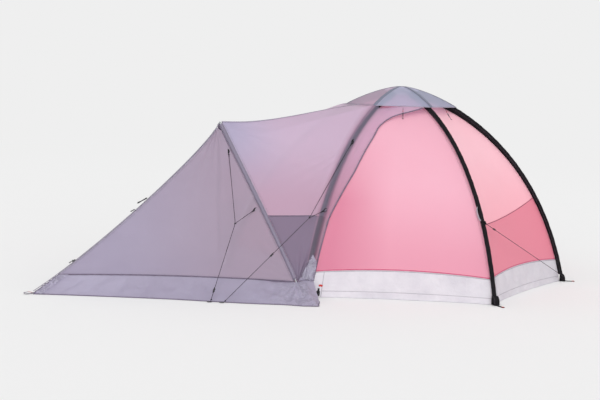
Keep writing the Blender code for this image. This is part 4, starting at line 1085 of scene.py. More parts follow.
cover = {
    "standoff": 0.0205, "capStandoff": 0.0175, "capEdge": 0.0161, "capRadius": 0.350, "capSpace": 0.004,
    "underCap": 0.0045, "underCapFade": 0.035, "dip": 0.027, "dipTurn": 75, "frontTrim": 0.0138,
    "overPole": ((0.015, 0.014), (0.026, -0.006)), "lapLift": (0.0085, 0.0060),
    "lapHeights": (0.0, 0.46, 0.72), "lapWidths": (0.030, 0.042, 0.098),
    "lapTopDrops": (0.150, 0.090, 0.045, 0.018, 0.0), "lapTopWidths": (0.108, 0.100, 0.128, 0.190, 0.335),
    "lapSoften": (-0.016, -0.008, 0, 0.008, 0.016), "footHeight": 0.096, "splitHeight": 0.455, "halfGap": 0.0018,
    "hem": (0.0075, 0.0010), "hemStitch": 0.008, "poleStitch": 0.009,
}
roofShape = {"wave": (0.30, 0.006), "squeeze": (1, 1, 0.6), "lapPull": ((-1, 0.1, -0.6), 0.004, 0.30, 5, 30),
            "topPull": ((1, -0.5, -0.5), 0.005, 0.28, 5, 40), "ridgePart": 0.2, "tuck": (0.016, 0.0015)}
sideShape = {"wave": (0.16, 0.004), "pull": ((0.4, 0, 0.6), 0.006, 0.20, 6, 44)}
spanSteps = np.linspace(0, 6, 49)
allSteps = np.concatenate((spanSteps, np.linspace(6, 10, 29)[1:]))
edgeShare = shareAtRadius(cover["capRadius"] + cover["capSpace"])
capHeight = heightAt(edgeShare)


def spanControls(front, rear, down):
    reach = rear - front
    trim = cover["frontTrim"] / np.linalg.norm(reach, axis=-1)[:, None]
    share = trim + (1 - trim) * np.linspace(0, 1, 7)
    dip = cover["dip"] * share * (1 - share) ** 2 * 6.75 * (1 - down[:, None])
    turn = math.radians(cover["dipTurn"]) * down
    way = np.stack((0 * turn, np.sin(turn), -np.cos(turn)), -1)
    return front[:, None] + share[..., None] * reach[:, None] + dip[..., None] * way[:, None]


# Moves points of a canopy facet up under the cap's edge, where they come near it
def raisedToCap(facet, across, shares, onCanopy, lift):
    raised = betweenPoles(facet, across, shares, cover["capEdge"] - cover["underCap"] + lift, dome["poleStep"])
    return onCanopy + (raised - onCanopy) * np.exp(-(capHeight - heightAt(shares)) / cover["underCapFade"])[:, None]


def lapControls(share):
    sideways = unit(cornerWay(1) - cornerWay(0))
    heights = cover["lapHeights"] + tuple(capHeight - drop for drop in cover["lapTopDrops"])
    width = np.mean([np.interp(heightAt(share) + shift, heights, cover["lapWidths"] + cover["lapTopWidths"])
                     for shift in cover["lapSoften"]], axis=0)
    over = [polePoint(0, share, lift, dome["poleStep"]) + offset * sideways for offset, lift in cover["overPole"]]
    middle = (cover["overPole"][-1][0] + width) / 2
    for reach, lift in zip((middle, width), cover["lapLift"]):
        across = reach / radiusAt(share)
        over.append(raisedToCap(0, across[:, None], share, canopyPoint(0, across, share, lift), 0.0))
    return np.stack(over, 1)


def roofControls(down):
    splitShare = shareAtHeight(cover["splitHeight"])
    ridgePart = roofShape["ridgePart"]
    fan = np.clip(0.5 + 0.5 / ridgePart * down, 0.5, 1.0)[:, None]
    rearShare = edgeShare + (splitShare - edgeShare) * np.clip((down - ridgePart) / (1 - ridgePart), 0, 1)
    rear = betweenPoles(5, fan, rearShare, cover["standoff"], dome["poleStep"])
    front = hoopPoint(-1, hoopShareAtHeight(cover["splitHeight"]) * down)
    controls = np.concatenate((spanControls(front, rear, down), lapControls(rearShare)), 1)
    top = down < 1e-9
    controls[top, :, 1] = np.minimum(controls[top, :, 1], -cover["halfGap"])
    return controls


def sideControls(height):
    share = shareAtHeight(height)
    rear = polePoint(0, share, cover["standoff"], dome["poleStep"])
    front = hoopPoint(-1, hoopShareAtHeight(height))
    return np.concatenate((spanControls(front, rear, np.ones_like(height)), lapControls(share)), 1)


roofDown = np.concatenate((np.linspace(0, 0.2, 13), np.linspace(0.2, 1, 55)[1:]))
roofGrid = smoothLine(roofControls(roofDown), allSteps)
plainSpan = smoothLine(roofControls(roofDown)[:, :7], spanSteps)
atRidge = np.clip((0.2 - roofDown) / 0.05, 0, 1)[:, None, None]
roofGrid[:, :49] += atRidge * (plainSpan - roofGrid[:, :49])
tuckIn, tuckDown = roofShape["tuck"]
roofGrid[11, 55:] = roofGrid[12, 55:] + tuckIn * unit(roofGrid[12, 55:] - roofGrid[13, 55:]) - tuckDown * up
leftRoofWay = np.array((-0.2, -0.6, 0.8))
roofNormals = facing(roofGrid, leftRoofWay)
fadedRoof = roofNormals * edgeFade(roofGrid.shape, 0.06)
fadedRoof[:, 48:] *= np.clip((np.arange(len(roofGrid)) - 12) / 8, 0, 1)[:, None, None]
sideHeights = np.linspace(cover["splitHeight"], cover["footHeight"], 48)
sideGrid = smoothLine(sideControls(sideHeights), allSteps)
leftSideWay = np.array((-0.2, -0.9, 0.1))
sideNormals = facing(sideGrid, leftSideWay)
fadedSide = sideNormals * edgeFade(sideGrid.shape, 0.06)
# The lower side is coloured darker from the hoop to the front pole, where the double fact is set
darkFromHoop = np.where(allSteps < 5.6, 1.0, np.clip((6.2 - allSteps) / 0.6, 0, 1))
# lap marks the part over the front pole and canopy; band sets the painted shade where the cover lies on the black pole
# sleeve
lapFacts = {"lap": np.clip((allSteps - 5.5) / 0.5, 0, 1),
            "band": np.clip((allSteps - 5.84) / 0.12, 0, 1) * np.clip((8.1 - allSteps) / 0.5, 0, 1)}

# The crumpled corner patch behind the hoop's foot: its top edge is given by the side's rows at some of its steps
cornerPatch = {"steps": (0.25, 3, 4.5, 5.55, 6.25, 6.8, 8, 9.8), "rows": (0.4, 3, 7, 11, 15, 19, 14, 9), "peak": 6.8,
               "shape": (26, 60), "big": (0.050, 0.024), "small": (0.022, 0.009), "deepest": -0.003,
               "lift": (0.006, 0.0015), "seam": (0.0090, 0.0010)}


def sampled(grid, rows, columns):
    low = np.minimum(columns.astype(int), grid.shape[1] - 2)
    part = (columns - low)[:, None]
    lines = grid[:, low] * (1 - part) + grid[:, low + 1] * part
    places = np.arange(len(grid))
    return np.stack([np.stack([np.interp(rows[:, column], places, lines[:, column, axis])
                               for column in range(len(columns))], -1) for axis in range(3)], -1)


def cornerPatchAt(side, label):
    rows, columns = cornerPatch["shape"]
    steps = np.interp(np.linspace(0.02, 0.985, columns), (0, 1), (allSteps[2], allSteps[-2]))
    topRows = np.interp(steps, cornerPatch["steps"], cornerPatch["rows"])
    places = (len(sideHeights) - 1) - topRows * np.linspace(1, 0, rows)[:, None]
    columnsAt = np.interp(steps, allSteps, np.arange(len(allSteps)))
    base, ways = sampled(sideGrid, places, columnsAt), sampled(sideNormals, places, columnsAt)
    faded = ways * edgeFade(base.shape, 0.05)
    grid = crumpled(base, faded, *cornerPatch["big"], 81 + side)
    grid = crumpled(grid, faded, *cornerPatch["small"], 84 + side)
    raised = np.maximum(((grid - base) * ways).sum(-1, keepdims=True), cornerPatch["deepest"])
    grid = base + (raised + np.linspace(*cornerPatch["lift"], rows)[:, None, None]) * ways
    grid, ways = onSide(grid, side), onSide(ways, side)
    # The crumple fact sets where painted crease highlights and shade go
    patch = clothSheet("corner_patch_" + label, grid, "skirtCloth", outward=onSide(leftSideWay, side),
                       facts={"crumple": 1.0})
    end = np.searchsorted(steps, cornerPatch["peak"])
    trims = [tape(grid[0, :end], ways[0, :end], cornerPatch["seam"], "greyTape", 0.0006)]
    stitchLines("tent", grid[:, :end], ways[:, :end], {"first row": 0.006})
    dress(patch, "tent", [], trims=trims)


for side, label in ((-1, "left"), (1, "right")):
    grid = wavy(roofGrid, fadedRoof, *roofShape["wave"], 40 + side, roofShape["squeeze"])
    grid = pullLines(grid, fadedRoof, roofGrid[40, 60], *roofShape["lapPull"])
    grid = pullLines(grid, fadedRoof, roofGrid[0, 0], *roofShape["topPull"])
    keep = np.ones((grid.shape[0] - 1, grid.shape[1] - 1), bool)
    keep[:11, 48:] = False
    keep[11, 48:55] = False
    grid, normals = onSide(grid, side), onSide(roofNormals, side)
    roof = clothSheet("roof_" + label, grid, "roofCloth", keep=keep, outward=onSide(leftRoofWay, side),
                      facts=lapFacts)
    trims = [tape(grid[12:, -1], normals[12:, -1], cover["hem"], "greyTape", 0.0002),
             tape(grid[:13, 48], normals[:13, 48], (0.0045, 0.0010), "lilacTape", 0.0002)]
    if side < 0:
        trims.append(tape(grid[:, 0], normals[:, 0], (0.0040, 0.0009), "lilacTape", 0.0004))
        trims.append(tape(grid[0, :49], normals[0, :49] + 0.6 * up, (0.0080, 0.0012), "lilacTape", 0.0010))
    for line in (49, 55):
        stitchLines("tent", grid[12:, :line], normals[12:, :line], {"last column": 0.0})
    stitchLines("tent", grid[12:], normals[12:], {"last column": cover["hemStitch"]})
    stitchLines("tent", grid[1:], normals[1:], {"first column": cover["poleStitch"]})
    dress(roof, "tent", ["cover_roof_" + label], trims=trims)
    grid = wavy(sideGrid, fadedSide, *sideShape["wave"], 44 + side)
    grid = pullLines(grid, fadedSide, sideGrid[-1, 0], *sideShape["pull"])
    grid, normals = onSide(grid, side), onSide(sideNormals, side)
    lower = clothSheet("lower_side_" + label, grid, "sideCloth", outward=onSide(leftSideWay, side),
                       facts={"double": darkFromHoop, **lapFacts})
    trims = [tape(grid[:, -1], normals[:, -1], cover["hem"], "greyTape", 0.0002),
             tape(grid[0, :46], normals[0, :46], (0.0050, 0.0009), "greyTape", 0.0006)]
    stitchLines("tent", grid, normals, {"last column": cover["hemStitch"], "first row": 0.006,
                                        "first column": cover["poleStitch"]})
    dress(lower, "tent", ["cover_side_" + label],
          trims=trims)
    cornerPatchAt(side, label)

# Front panels of the vestibule, left one fixed and right one the door
front = {"seamHeight": 0.104, "arch": 0.020, "sag": 0.022, "startShare": 0.090, "trims": (0.0065, 0.0140),
         "shape": (72, 60), "wave": (0.34, 0.008), "squeeze": (1, 1, 0.7), "intoSleeve": 0.003,
         "footPull": ((-0.5, 0.5, 0.7), 0.007, 0.16, 7, 50), "topPull": ((-0.4, -0.2, -0.8), 0.004, 0.35, 5, 34),
         "hem": (0.0065, 0.0012), "edge": (0.0040, 0.0009)}
zipFoot, hoopFoot = ridgeShareAtHeight(front["seamHeight"]), hoopShareAtHeight(cover["footHeight"])


def frontLines(down):
    crest, leg = ridgePoint(zipFoot * down), hoopPoint(-1, hoopFoot * down)
    reach = leg - crest
    crestSlope, legSlope = slopeAt(ridgeHandles, zipFoot * down), slopeAt(hoopHandles(-1), hoopFoot * down)
    near, far = (trim / np.linalg.norm(np.cross(reach, slope), axis=-1)
                 for trim, slope in zip(front["trims"], (crestSlope, legSlope)))
    across = np.linspace(0, 1, front["shape"][1])
    share = near[:, None] + (1 - near - far)[:, None] * across
    dip = front["sag"] * 4 * share * (1 - share) * down[:, None]
    arch = front["arch"] * 4 * across * (1 - across) * down[:, None]
    way = unit(np.cross(reach, crestSlope))
    return crest[:, None] + share[..., None] * reach[:, None] + arch[..., None] * up + dip[..., None] * way[:, None]


frontGrid = frontLines(np.linspace(front["startShare"], 1, front["shape"][0]))
leftFrontWay = np.array((-0.6, -0.7, 0.5))
frontNormals = facing(frontGrid, leftFrontWay)
fadedFront = frontNormals * edgeFade(frontGrid.shape, 0.05)

for side, label, name, node, body in ((-1, "left", "front_left_cloth", "vestibule_panel_left", "tent"),
                                      (1, "right", "front_right_cloth", "vestibule_door_right", "vestibule_door")):
    grid = wavy(frontGrid, fadedFront, *front["wave"], 50 + side, front["squeeze"])
    grid = pullLines(grid, fadedFront, frontGrid[-1, -1], *front["footPull"])
    grid = pullLines(grid, fadedFront, frontGrid[0, 0], *front["topPull"])
    if side < 0:
        grid[:, -1] += front["intoSleeve"] * unit(grid[:, -1] - grid[:, -2])
    grid, normals = onSide(grid, side), onSide(frontNormals, side)
    panel = clothSheet(name, grid, "lilacCloth", outward=onSide(leftFrontWay, side))
    trims = [tape(grid[-1], normals[-1], front["hem"], "greyTape", 0.0010),
             tape(grid[:, 0], normals[:, 0], front["edge"], "lilacTape", 0.0004)]
    stitchLines(body, grid, normals, {"first column": 0.010, "last column": 0.010, "last row": 0.007})
    dress(panel, body, [node], trims=trims)

# Skirt on the ground, all round the vestibule
skirt = {
    "hem": ((2.398, 0.012), (2.228, 0.099), (1.934, 0.260), (1.694, 0.400), (1.526, 0.514), (1.330, 0.640),
            (1.166, 0.730), (1.070, 0.800), (1.006, 0.826)),
    "heel": (0.935, 0.700), "corner": 0.34, "fold": 0.006, "foldPitch": 0.120, "tipFade": 0.16, "rows": 30,
    "columns": (200, 150), "wave": (0.09, 0.006), "crumple": (0.070, 0.014), "cornerCrumple": (0.035, 0.007),
    "pull": ((-0.4, -0.5, -0.6), 0.009, 0.14, 9, 80), "tape": (0.0060, 0.0010),
}


def skirtControls():
    frontTop = frontLines(np.array((1.0,)))[0][np.linspace(0, 59, 7).round().astype(int)]
    corner = hoopPoint(-1, hoopFoot) + 0.015 * unit((-0.2, -1, 0))
    roofFoot = sideControls(np.array((cover["footHeight"],)))[0]
    top = np.concatenate((frontTop, corner[None], roofFoot[1:]))
    hem = np.array([(-reach, -half, 0) for reach, half in skirt["hem"]])
    heel = np.array((-skirt["heel"][0], -skirt["heel"][1], 0))
    lengths = lengthsAlong(top)
    parts = (lengths[8:] - lengths[7]) / (lengths[-1] - lengths[7])
    turn = skirt["corner"]
    feet = [hem[7] + (hem[8] - hem[7]) * part / turn if part < turn
            else hem[8] + (heel - hem[8]) * (part - turn) / (1 - turn) for part in parts]
    return top - 0.0015 * up, np.concatenate((hem[:8], feet))


skirtTop, skirtFeet = skirtControls()
cut, restColumns = skirt["columns"]
skirtSteps = np.concatenate((np.linspace(0, 6, cut), np.linspace(6, len(skirtTop) - 1, restColumns)[1:]))
topLine, footLine = smoothLine(skirtTop, skirtSteps), smoothLine(skirtFeet, skirtSteps)
down = np.linspace(0, 1, skirt["rows"])[:, None, None]
skirtGrid = topLine + (footLine - topLine) * down
lengths = lengthsAlong(topLine)
fold = skirt["fold"] * (1 + np.sin(math.tau * lengths / skirt["foldPitch"]))
skirtGrid[..., 2] -= 4 * (down * (1 - down))[..., 0] * fold * np.clip(lengths / skirt["tipFade"], 0, 1)
leftSkirtWay = np.array((-0.3, -0.3, 0.9))
skirtNormals = facing(skirtGrid, leftSkirtWay)
nearCorner = np.exp(-np.abs(lengths - lengths[220]) / 0.16)[:, None]
loose = skirtNormals * np.sin(math.pi * down * 0.92) * np.clip(lengths / 0.06, 0, 1)[:, None]
skirtGrid = wavy(skirtGrid, loose, *skirt["wave"], 61)
skirtGrid = crumpled(skirtGrid, loose * (0.45 + nearCorner), *skirt["crumple"], 62)
skirtGrid = crumpled(skirtGrid, loose * nearCorner, *skirt["cornerCrumple"], 63)
skirtGrid = pullLines(skirtGrid, loose, skirtGrid[0, 215], *skirt["pull"])
skirtGrid[..., 2] = np.maximum(skirtGrid[..., 2], 0.0008)
for side, name, node, body, columns in (
        (-1, "skirt_left_cloth", "skirt_left", "tent", slice(None)),
        (1, "skirt_door_cloth", "skirt_right_front", "vestibule_door", slice(None, cut)),
        (1, "skirt_corner_cloth", "skirt_right_corner", "tent", slice(cut - 1, None))):
    grid, normals = onSide(skirtGrid[:, columns], side), onSide(skirtNormals[:, columns], side)
    # The crumple fact sets where painted crease highlights and shade go, strongest near the corner
    piece = clothSheet(name, grid, "skirtCloth", outward=onSide(leftSkirtWay, side),
                       facts={"crumple": nearCorner[columns, 0] ** 1.6})
    trims = [tape(grid[-1] + 0.0006 * up, normals[-1], skirt["tape"], "greyTape")]
    stitchLines(body, grid, normals, {"last row": 0.009, "first row": 0.006})
    dress(piece, body, [node], trims=trims)

# Gathered cloth over the foot of the ridge zip, at the vestibule's tip
gatherShape = {"rows": 64, "columns": 14, "from": 9, "tail": (-2.413, -0.004, 0.007), "big": (0.026, 0.034),
              "small": (0.012, 0.010), "lift": 0.003, "halfGap": 0.0008, "above": 0.0010}
rows, columns = gatherShape["rows"], gatherShape["columns"]
base = np.stack([spacedPath(line, columns) for line in skirtGrid[:, :gatherShape["from"]]])
base = np.stack([spacedPath(base[:, column], rows) for column in range(columns)], 1)
tail = np.linspace(1, 0, columns)[:, None] ** 1.5
base = np.concatenate((base, (base[-1] + tail * (np.array(gatherShape["tail"]) - base[-1]))[None]))
tipWays = facing(base, leftSkirtWay)
loose = tipWays * np.linspace(1, 0.15, columns)[:, None] * np.clip(np.linspace(0, 6, rows + 1), 0.1, 1)[:, None, None]
gather = crumpled(base, loose, *gatherShape["big"], 65)
gather = crumpled(gather, loose, *gatherShape["small"], 66)
raised = np.maximum(((gather - base) * tipWays).sum(-1, keepdims=True), 0)
gather = base + (raised + gatherShape["lift"]) * tipWays
gather[..., 1] = np.minimum(gather[..., 1], -gatherShape["halfGap"])
gather[..., 2] = np.maximum(gather[..., 2], gatherShape["above"])
# The crumple fact sets where painted crease highlights and shade go
piece = clothSheet("tip_gather", gather, "skirtCloth", outward=leftSkirtWay, facts={"crumple": 1.0})
dress(piece, "tent", [],
      trims=[tape(gather[:-1, 0], tipWays[:-1, 0], (0.0040, 0.0010), "greyTape", 0.0004)])

# Cap over the crossing of the poles
capShape = {"rows": 30, "columns": 26, "hem": (0.0050, 0.0011), "band": (0.0200, 0.0009), "bandLift": 0.0005,
           "bandStitch": 0.0082, "stitchLift": 0.0012}
capLines = []
for share in np.linspace(shareAtRadius(cover["capRadius"]), 1.0, capShape["rows"]):
    topPart = 1 - radiusAt(share) / cover["capRadius"]
    lift = cover["capEdge"] + (cover["capStandoff"] - cover["capEdge"]) * topPart
    across = np.linspace(0, 1, capShape["columns"] + 1)[:-1, None]
    capLines.append(np.concatenate([betweenPoles(facet, across, share, lift, dome["poleStep"])
                                    for facet in range(6)]))
capGrid = np.array(capLines)
capGrid[-1] = capGrid[-1].mean(0)
capGrid = np.concatenate((capGrid, capGrid[:, :1]), 1)
capNormals = facing(capGrid, up)
capNormals[-1] = up
cap = clothSheet("cap_cloth", capGrid, "capCloth", outward=up,
                 facts={"double": np.arange(capGrid.shape[1]) > 5 * capShape["columns"]})
trims = [tape(capGrid[0], capNormals[0], capShape["hem"], "lilacTape", 0.0002)]
for column in range(0, 6 * capShape["columns"], capShape["columns"]):
    line, normals = capGrid[:-2, column], capNormals[:-2, column]
    trims.append(tape(line, normals, capShape["band"], "capBand", capShape["bandLift"]))
    line, normals = line[1:-1], normals[1:-1]
    wayOver = np.cross(normals, unit(np.gradient(line, axis=0)))
    seams["tent"] += [line + capShape["stitchLift"] * normals + way * capShape["bandStitch"] * wayOver
                      for way in (-1, 1)]
stitchLines("tent", capGrid, capNormals, {"first row": 0.008}, 0.0)
dress(cap, "tent", ["cover_cap"], trims=trims)

# Hoop sleeves
for side, label in ((-1, "left"), (1, "right")):
    path = hoopPoint(side, np.linspace(0, float(hoopShareAtHeight(hoop["sleeveEnd"])), 400))
    start = np.searchsorted(lengthsAlong(path)[1:], hoop["sleeveStart"])
    path = spacedPath(path[start:], hoopSleeve["stations"])
    out, across = pathWays(path, onSide(hoopSleeve["outward"], side))
    clothSleeve("hoop_sleeve_cloth_" + label, "hoop_sleeve_cuff_" + label, hoopSleeve, path, out, across,
                hoopSleeve["drop"], "hoop_sleeve_" + label)
print("cover hung")

# Ridge zip: two tapes with teeth between them
ridgeZip = {"start": 0.033, "end": 0.995, "above": 0.003, "tape": (0.0052, 0.0012), "tapeShift": 0.0031,
            "teethLift": 0.0012}
zipShares = np.linspace(ridgeZip["start"], ridgeZip["end"], 160)
zipPath, zipOut = ridgePoint(zipShares), ridgeOutward(zipShares)
zipPath[:, 2] = np.maximum(zipPath[:, 2], ridgeZip["above"])
acrossZip = np.zeros_like(zipPath) + (0.0, 1.0, 0.0)
strips = [tape(zipPath + way * ridgeZip["tapeShift"] * acrossZip, zipOut, ridgeZip["tape"], "lilacTape")
          for way in (-1, 1)]
attach(joinPieces("ridge_zip_tapes", strips), "tent", ["vestibule_zip"])
zipRuns["ridge_zip_teeth"] = (zipPath + ridgeZip["teethLift"] * zipOut, acrossZip)

# Pole boots, with a ground strap and its red end where the frame has one
boot = {"inner": 1.0859, "outer": 1.120, "height": 0.0545, "width": 0.0445, "strap": 0.062, "strapWidth": 0.014,
        "tab": 0.016, "under": 0.0008, "strapIn": 0.012, "rise": 0.010, "box": (0.006, 0.0052), "boxAt": 0.014}
corners = np.array([(-1, -1), (1, -1), (1, 1), (-1, 1), (-1, -1)])
turns = np.linspace(0, math.pi / 2, 14)[:, None]
for corner, name in enumerate(cornerNames):
    outward = cornerWay(corner)
    across = np.cross(up, outward)
    reach = boot["inner"] + (boot["outer"] - boot["inner"]) * np.cos(turns) ** 0.8
    height = boot["under"] + (boot["height"] - boot["under"]) * np.sin(turns) ** 0.9
    rim = reach * outward + height * up
    outline = np.concatenate((rim, [boot["inner"] * outward + boot["under"] * up]))
    pieces = [puffed("boot", outline, across, boot["width"], "blackCloth", 4.0, 13)]
    rim = rim + 0.0004 * unit(rim - outline.mean(0))
    seams["tent"] += [rim + across * way * boot["width"] * 0.40 for way in (-1, 1)]
    if corner not in (0, 5):
        shares = np.linspace(0, 1, 26)[:, None]
        end = boot["outer"] + boot["strap"]
        strap = (boot["outer"] - boot["strapIn"] + (boot["strap"] + boot["strapIn"]) * shares) * outward
        strap = strap + (0.0016 + boot["rise"] * np.clip(1 - shares * 3.2, 0, 1) ** 2) * up
        pieces.append(tape(strap, up, (boot["strapWidth"], 0.0020), "blackWebbing"))
        tab = runFrom(0.0032 * up, outward, end - boot["tab"], end - 0.0006, 8)
        pieces.append(tape(tab, up, (boot["strapWidth"] * 0.94, 0.0014), "redWebbing"))
        box = corners * boot["box"]
        start = (boot["outer"] + boot["boxAt"]) * outward + 0.0030 * up
        seams["tent"].append(start + box[:, :1] * outward + box[:, 1:] * across)
    fitting("boot_" + name, pieces, "tent", ["corner_webbing_" + name])

# Loop of webbing at the vestibule's tip
tipLoop = {"line": ((-2.3995, 0.0072), (-2.412, 0.0104), (-2.428, 0.0118), (-2.442, 0.0096), (-2.4490, 0.0066),
                    (-2.442, 0.0034), (-2.428, 0.0018), (-2.412, 0.0022), (-2.4015, 0.0044)),
           "middle": (-2.425, 0, 0.0065), "band": (0.0115, 0.0014), "tab": (0.0100, 0.0012), "tabPoints": 14,
           "tabLift": 0.0009}
tipPath = smoothLine([(x, 0, z) for x, z in tipLoop["line"]], np.linspace(0, 8, 60))
tipOut = unit(tipPath - np.array(tipLoop["middle"]))
tab = slice(tipLoop["tabPoints"])
fitting("tip_loop_band", [tape(tipPath, tipOut, tipLoop["band"], "greyTape"),
                          tape(tipPath[tab], tipOut[tab], tipLoop["tab"], "redWebbing", tipLoop["tabLift"])],
        "tent", ["tip_webbing_loop"])


# Zip sliders: a body, a ring and a pull that hangs from it
def zipSlider(name, body, along, outward, look, pullCloth):
    centre, across = middleOf(body), np.cross(outward, along)
    back, out, lift = look["pull"]
    pull = runFrom(centre + lift * outward, -back * along + out * outward, 0, 1, 20)
    ringOut, ringBack, radius, thick = look["ring"]
    pieces = [softBar(centre, along, across, look["size"], "blackPlastic"),
              ringAt(centre + ringOut * outward - ringBack * along, across, radius, thick, "blackPlastic"),
              beadedRod(pull, look["radii"], pullCloth, 8)]
    fitting(name, pieces, body, [body])


ridgeSlider = {"from": 0.62, "to": 0.82, "size": (0.022, 0.0105, 0.0052), "pull": (0.030, 0.002, 0.0045),
               "ring": (0.0042, 0.004, 0.0034, 0.0009), "radii": (0.0012, 0.0012, 0.0022, 0.0026, 0.0022)}
innerSlider = {"along": (0.312, -0.1195, 0.9425), "size": (0.028, 0.0108, 0.0042), "pull": (0.026, 0.003, 0.0040),
               "ring": (0.0034, 0.006, 0.0030, 0.0008), "radii": (0.0011, 0.0011, 0.0020, 0.0024, 0.0020)}
along = unit(ridgePoint(ridgeSlider["from"]) - ridgePoint(ridgeSlider["to"]))
zipSlider("ridge_slider", "vestibule_zip_slider", along, ridgeOutward(ridgeSlider["to"]), ridgeSlider, "cordWeave")
along = unit(innerSlider["along"])
outward = unit(np.cross(np.cross(along, facetWay(5) + 0.35 * up), along))
zipSlider("inner_slider", "inner_door_slider", along, outward, innerSlider, "redWebbing")

# Tie-back toggles on the ridge
toggle = {"upper": (0.530, 0.070, 0.010), "lower": (0.464, 0.030, 0.008), "tilt": 14, "gap": 0.0020,
          "radii": (0.42, 0.95, 0.80, 0.62, 0.60, 0.62, 0.80, 0.97, 0.50)}
for label in ("upper", "lower"):
    height, length, thick = toggle[label]
    share, tilt = ridgeShareAtHeight(height), math.radians(toggle["tilt"])
    outward = ridgeOutward(share)
    base = ridgePoint(share) + (toggle["gap"] + thick / 2) * outward
    way = math.cos(tilt) * slopeAt(ridgeHandles, share) + math.sin(tilt) * outward
    pieces = [beadedRod(runFrom(base, way, 0.002, length, 40), thick / 2 * np.array(toggle["radii"]),
                        "blackPlastic"),
              ringAt(base + 0.35 * length * way, way, thick * 0.36, 0.0011, "greyTape")]
    fitting("toggle_" + label, pieces, "tieback_toggle_" + label, ["tieback_toggle_" + label])

# Ladder buckles at the tub, with a red tab above each
buckle = {"fromCorner": 0.070, "heights": (0.024, 0.150), "lift": 0.0037, "frame": (0.013, 0.0082), "wire": 0.0022,
          "bars": (-0.004, 0.005), "barHalf": 0.0078, "barWire": 0.0017, "strap": (0.0110, 0.0014),
          "tab": (0.0110, 0.0016), "tabAt": 0.045}
for side, label in ((-1, "left"), (1, "right")):
    start, ahead = (onSide(canopyPoint(0, buckle["fromCorner"] / dome["floorRadius"], shareAtHeight(height),
                                       buckle["lift"]), side) for height in buckle["heights"])
    along, outward = unit(ahead - start), onSide(facetWay(0), side)
    across = np.cross(outward, along)
    line = corners * buckle["frame"]
    outline = spacedPath(start + line[:, :1] * along + line[:, 1:] * across, 61)
    pieces = [cordAlong(outline, outward, buckle["wire"], "blackPlastic")]
    for shift in buckle["bars"]:
        bar = runFrom(start + shift * along, across, -buckle["barHalf"], buckle["barHalf"], 8)
        pieces.append(cordAlong(bar, outward, buckle["barWire"], "blackPlastic"))
    strip = runFrom(start + 0.0008 * outward, along, -0.013, 0.030, 20)
    pieces.append(tape(strip, outward, buckle["strap"], "blackWebbing"))
    tab = runFrom(start + buckle["tabAt"] * along + 0.0020 * outward, -across, -0.002, 0.020, 12)
    tab[:, 2] += 0.003 * np.sin(np.linspace(0, 3, 12))
    pieces.append(tape(tab, outward, buckle["tab"], "redWebbing"))
    fitting("ladder_buckle_" + label, pieces, "tent", ["corner_buckle_" + label])

# Pale loops sewn to the side sleeves at guy height
sideTab = {"heights": (0.545, 0.470), "seam": 0.0118, "bulge": 0.011, "size": (0.012, 0.0012)}
for corner, toward in ((1, 0), (2, 2), (3, 2), (4, 4)):
    path = polePoint(corner, shareAtHeight(np.linspace(*sideTab["heights"], 26)), 0.0, crossingRise(corner))
    sideways = unit(facetWay(toward) - (facetWay(toward) @ cornerWay(corner)) * cornerWay(corner))
    bulge = sideTab["seam"] + sideTab["bulge"] * np.sin(np.linspace(0, math.pi, 26))[:, None] ** 0.7
    fitting("side_tab_" + cornerNames[corner], [tape(path + bulge * sideways, sideways, sideTab["size"],
                                                     "tubTape")], "tent", [])

# Cap hooks: a short cord from the cap's hem down to a hook on the canopy, with a red mark
capHook = {"start": 0.004, "end": 0.046, "lift": 0.004, "cord": 0.0012, "wire": 0.0016, "bend": 0.0042,
           "turn": 4.4, "barrel": (0.0022, 0.0030, 0.0030, 0.0024), "mark": (0.0020, 0.0022, 0.0020),
           "markLength": 0.007}
for facet in (0, 1, 3, 4):
    shares = shareAtHeight(capHeight - np.linspace(capHook["start"], capHook["end"], 40))
    onCanopy = canopyPoint(facet, 0.5, shares, cover["lapLift"][0] + capHook["lift"])
    path = spacedPath(raisedToCap(facet, 0.5, shares, onCanopy, capHook["lift"]), 16)
    along = unit(path[-1] - path[-2])
    across = unit(np.cross(along, facetWay(facet) + up))
    x, y = (values[:, None] for values in (np.cos(np.linspace(0, capHook["turn"], 24)),
                                           np.sin(np.linspace(0, capHook["turn"], 24))))
    hook = path[-1] + capHook["bend"] * (y * across + (1 - x) * along)
    mark = runFrom(path[4] + 0.0008 * up, along, 0, capHook["markLength"], 6)
    pieces = [cordAlong(path, facetWay(facet), capHook["cord"], "cordWeave"),
              beadedRod(path[7:13], capHook["barrel"], "blackPlastic", 10),
              cordAlong(hook, facetWay(facet), capHook["wire"], "blackPlastic"),
              beadedRod(mark, capHook["mark"], "redWebbing", 8)]
    fitting("cap_hook_" + facetNames[facet], pieces, "tent", ["cap_hook"] if facet == 0 else [])
print("fittings made")

# Hard pieces of the frame that stay get finer finishes
for node, shown in nodes.items():
    if node.startswith(("dome_pole", "hoop_leg", "hoop_elbow", "hoop_foot_cup")):
        for slot in shown.material_slots:
            slot.material = paint["blackPlastic" if node.startswith("hoop_foot_cup") else "poleAlloy"]

# Stitches and zip teeth
stitch = {"Pitch": 0.007, "Length": 0.0045, "Radius": 0.00045, "Seed": 5, "Thread": paint["threadCotton"]}
stitchTree, teethTree = makeStitchTree(), makeTeethTree()
for body, paths in seams.items():
    attach(repeatAlong("stitches_" + body, paths, stitchTree, stitch), body, [])
for name, (line, sideways) in zipRuns.items():
    teeth = repeatAlong(name, [line], teethTree, {"Plastic": paint["zipPlastic"]}, sideways)
    attach(teeth, "tent", [])
print("stitches and zips sewn")

# Light, floor

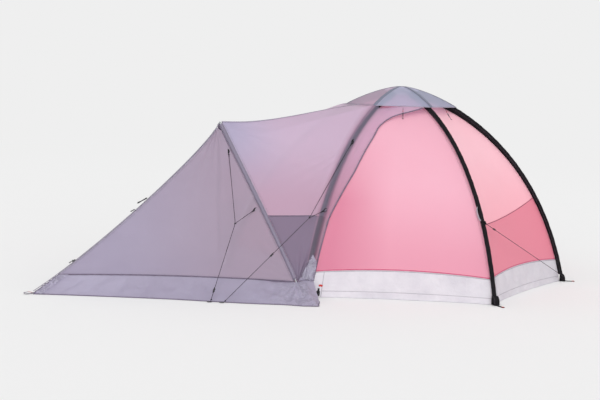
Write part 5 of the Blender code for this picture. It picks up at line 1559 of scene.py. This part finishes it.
studio = {"sky": 0.72, "backdrop": 0.863, "floor": 0.863, "floorNear": 5.0, "floorFar": 14.0, "angle": 60,
          "floorHalf": 60, "floorHeight": -0.001,
          "lamps": {"high": (0.60, (38, 0, -25)), "low": (1.15, (68, 0, -22))}}


def addSky():
    world = bpy.data.worlds.new("studio")
    bpy.context.scene.world = world
    world.use_nodes = True
    tree = world.node_tree
    tree.nodes.clear()
    camera, glossy, passed = (shade(tree, "LightPath", out="Is " + kind + " Ray")
                              for kind in ("Camera", "Glossy", "Transmission"))
    seen = shade(tree, "Math", {0: camera, 1: glossy}, operation="MAXIMUM")
    seen = shade(tree, "Math", {0: seen, 1: passed}, operation="MAXIMUM")
    lit = shade(tree, "Background", {"Color": (1, 1, 1, 1), "Strength": studio["sky"]})
    shown = shade(tree, "Background", {"Color": colorOf((studio["backdrop"],) * 3), "Strength": 1.0})
    shade(tree, "OutputWorld", {"Surface": shade(tree, "MixShader", {0: seen, 1: lit, 2: shown})})


def addLamps():
    for name, (energy, turns) in studio["lamps"].items():
        lamp = bpy.data.lights.new(name + "_sun", "SUN")
        lamp.energy = energy
        lamp.angle = math.radians(studio["angle"])
        sun = linked(bpy.data.objects.new(name + "_sun", lamp))
        sun.rotation_euler = [math.radians(turn) for turn in turns]


# A floor that fades into the backdrop far from the tent
def addFloor():
    floor = addMesh("floor", [(studio["floorHalf"] * x, studio["floorHalf"] * y, studio["floorHeight"])
                              for x, y in corners[:4]], [(0, 1, 2, 3)], smooth=False)
    made, tree = blankMaterial("floorPaint")
    reach = shade(tree, "VectorMath", {0: shade(tree, "TexCoord", out="Object")}, "Value", operation="LENGTH")
    fade = mapped(tree, reach, studio["floorNear"], studio["floorFar"], 0.0, 1.0, "SMOOTHSTEP")
    matte = shade(tree, "BsdfDiffuse", {"Color": colorOf((studio["floor"],) * 3)})
    far = shade(tree, "Emission", {"Color": colorOf((studio["backdrop"],) * 3)})
    shade(tree, "OutputMaterial", {"Surface": shade(tree, "MixShader", {0: fade, 1: matte, 2: far})})
    floor.data.materials.append(made)


addSky()
addLamps()
addFloor()
bpy.context.scene.view_settings.view_transform = "Standard"
print("studio lit")
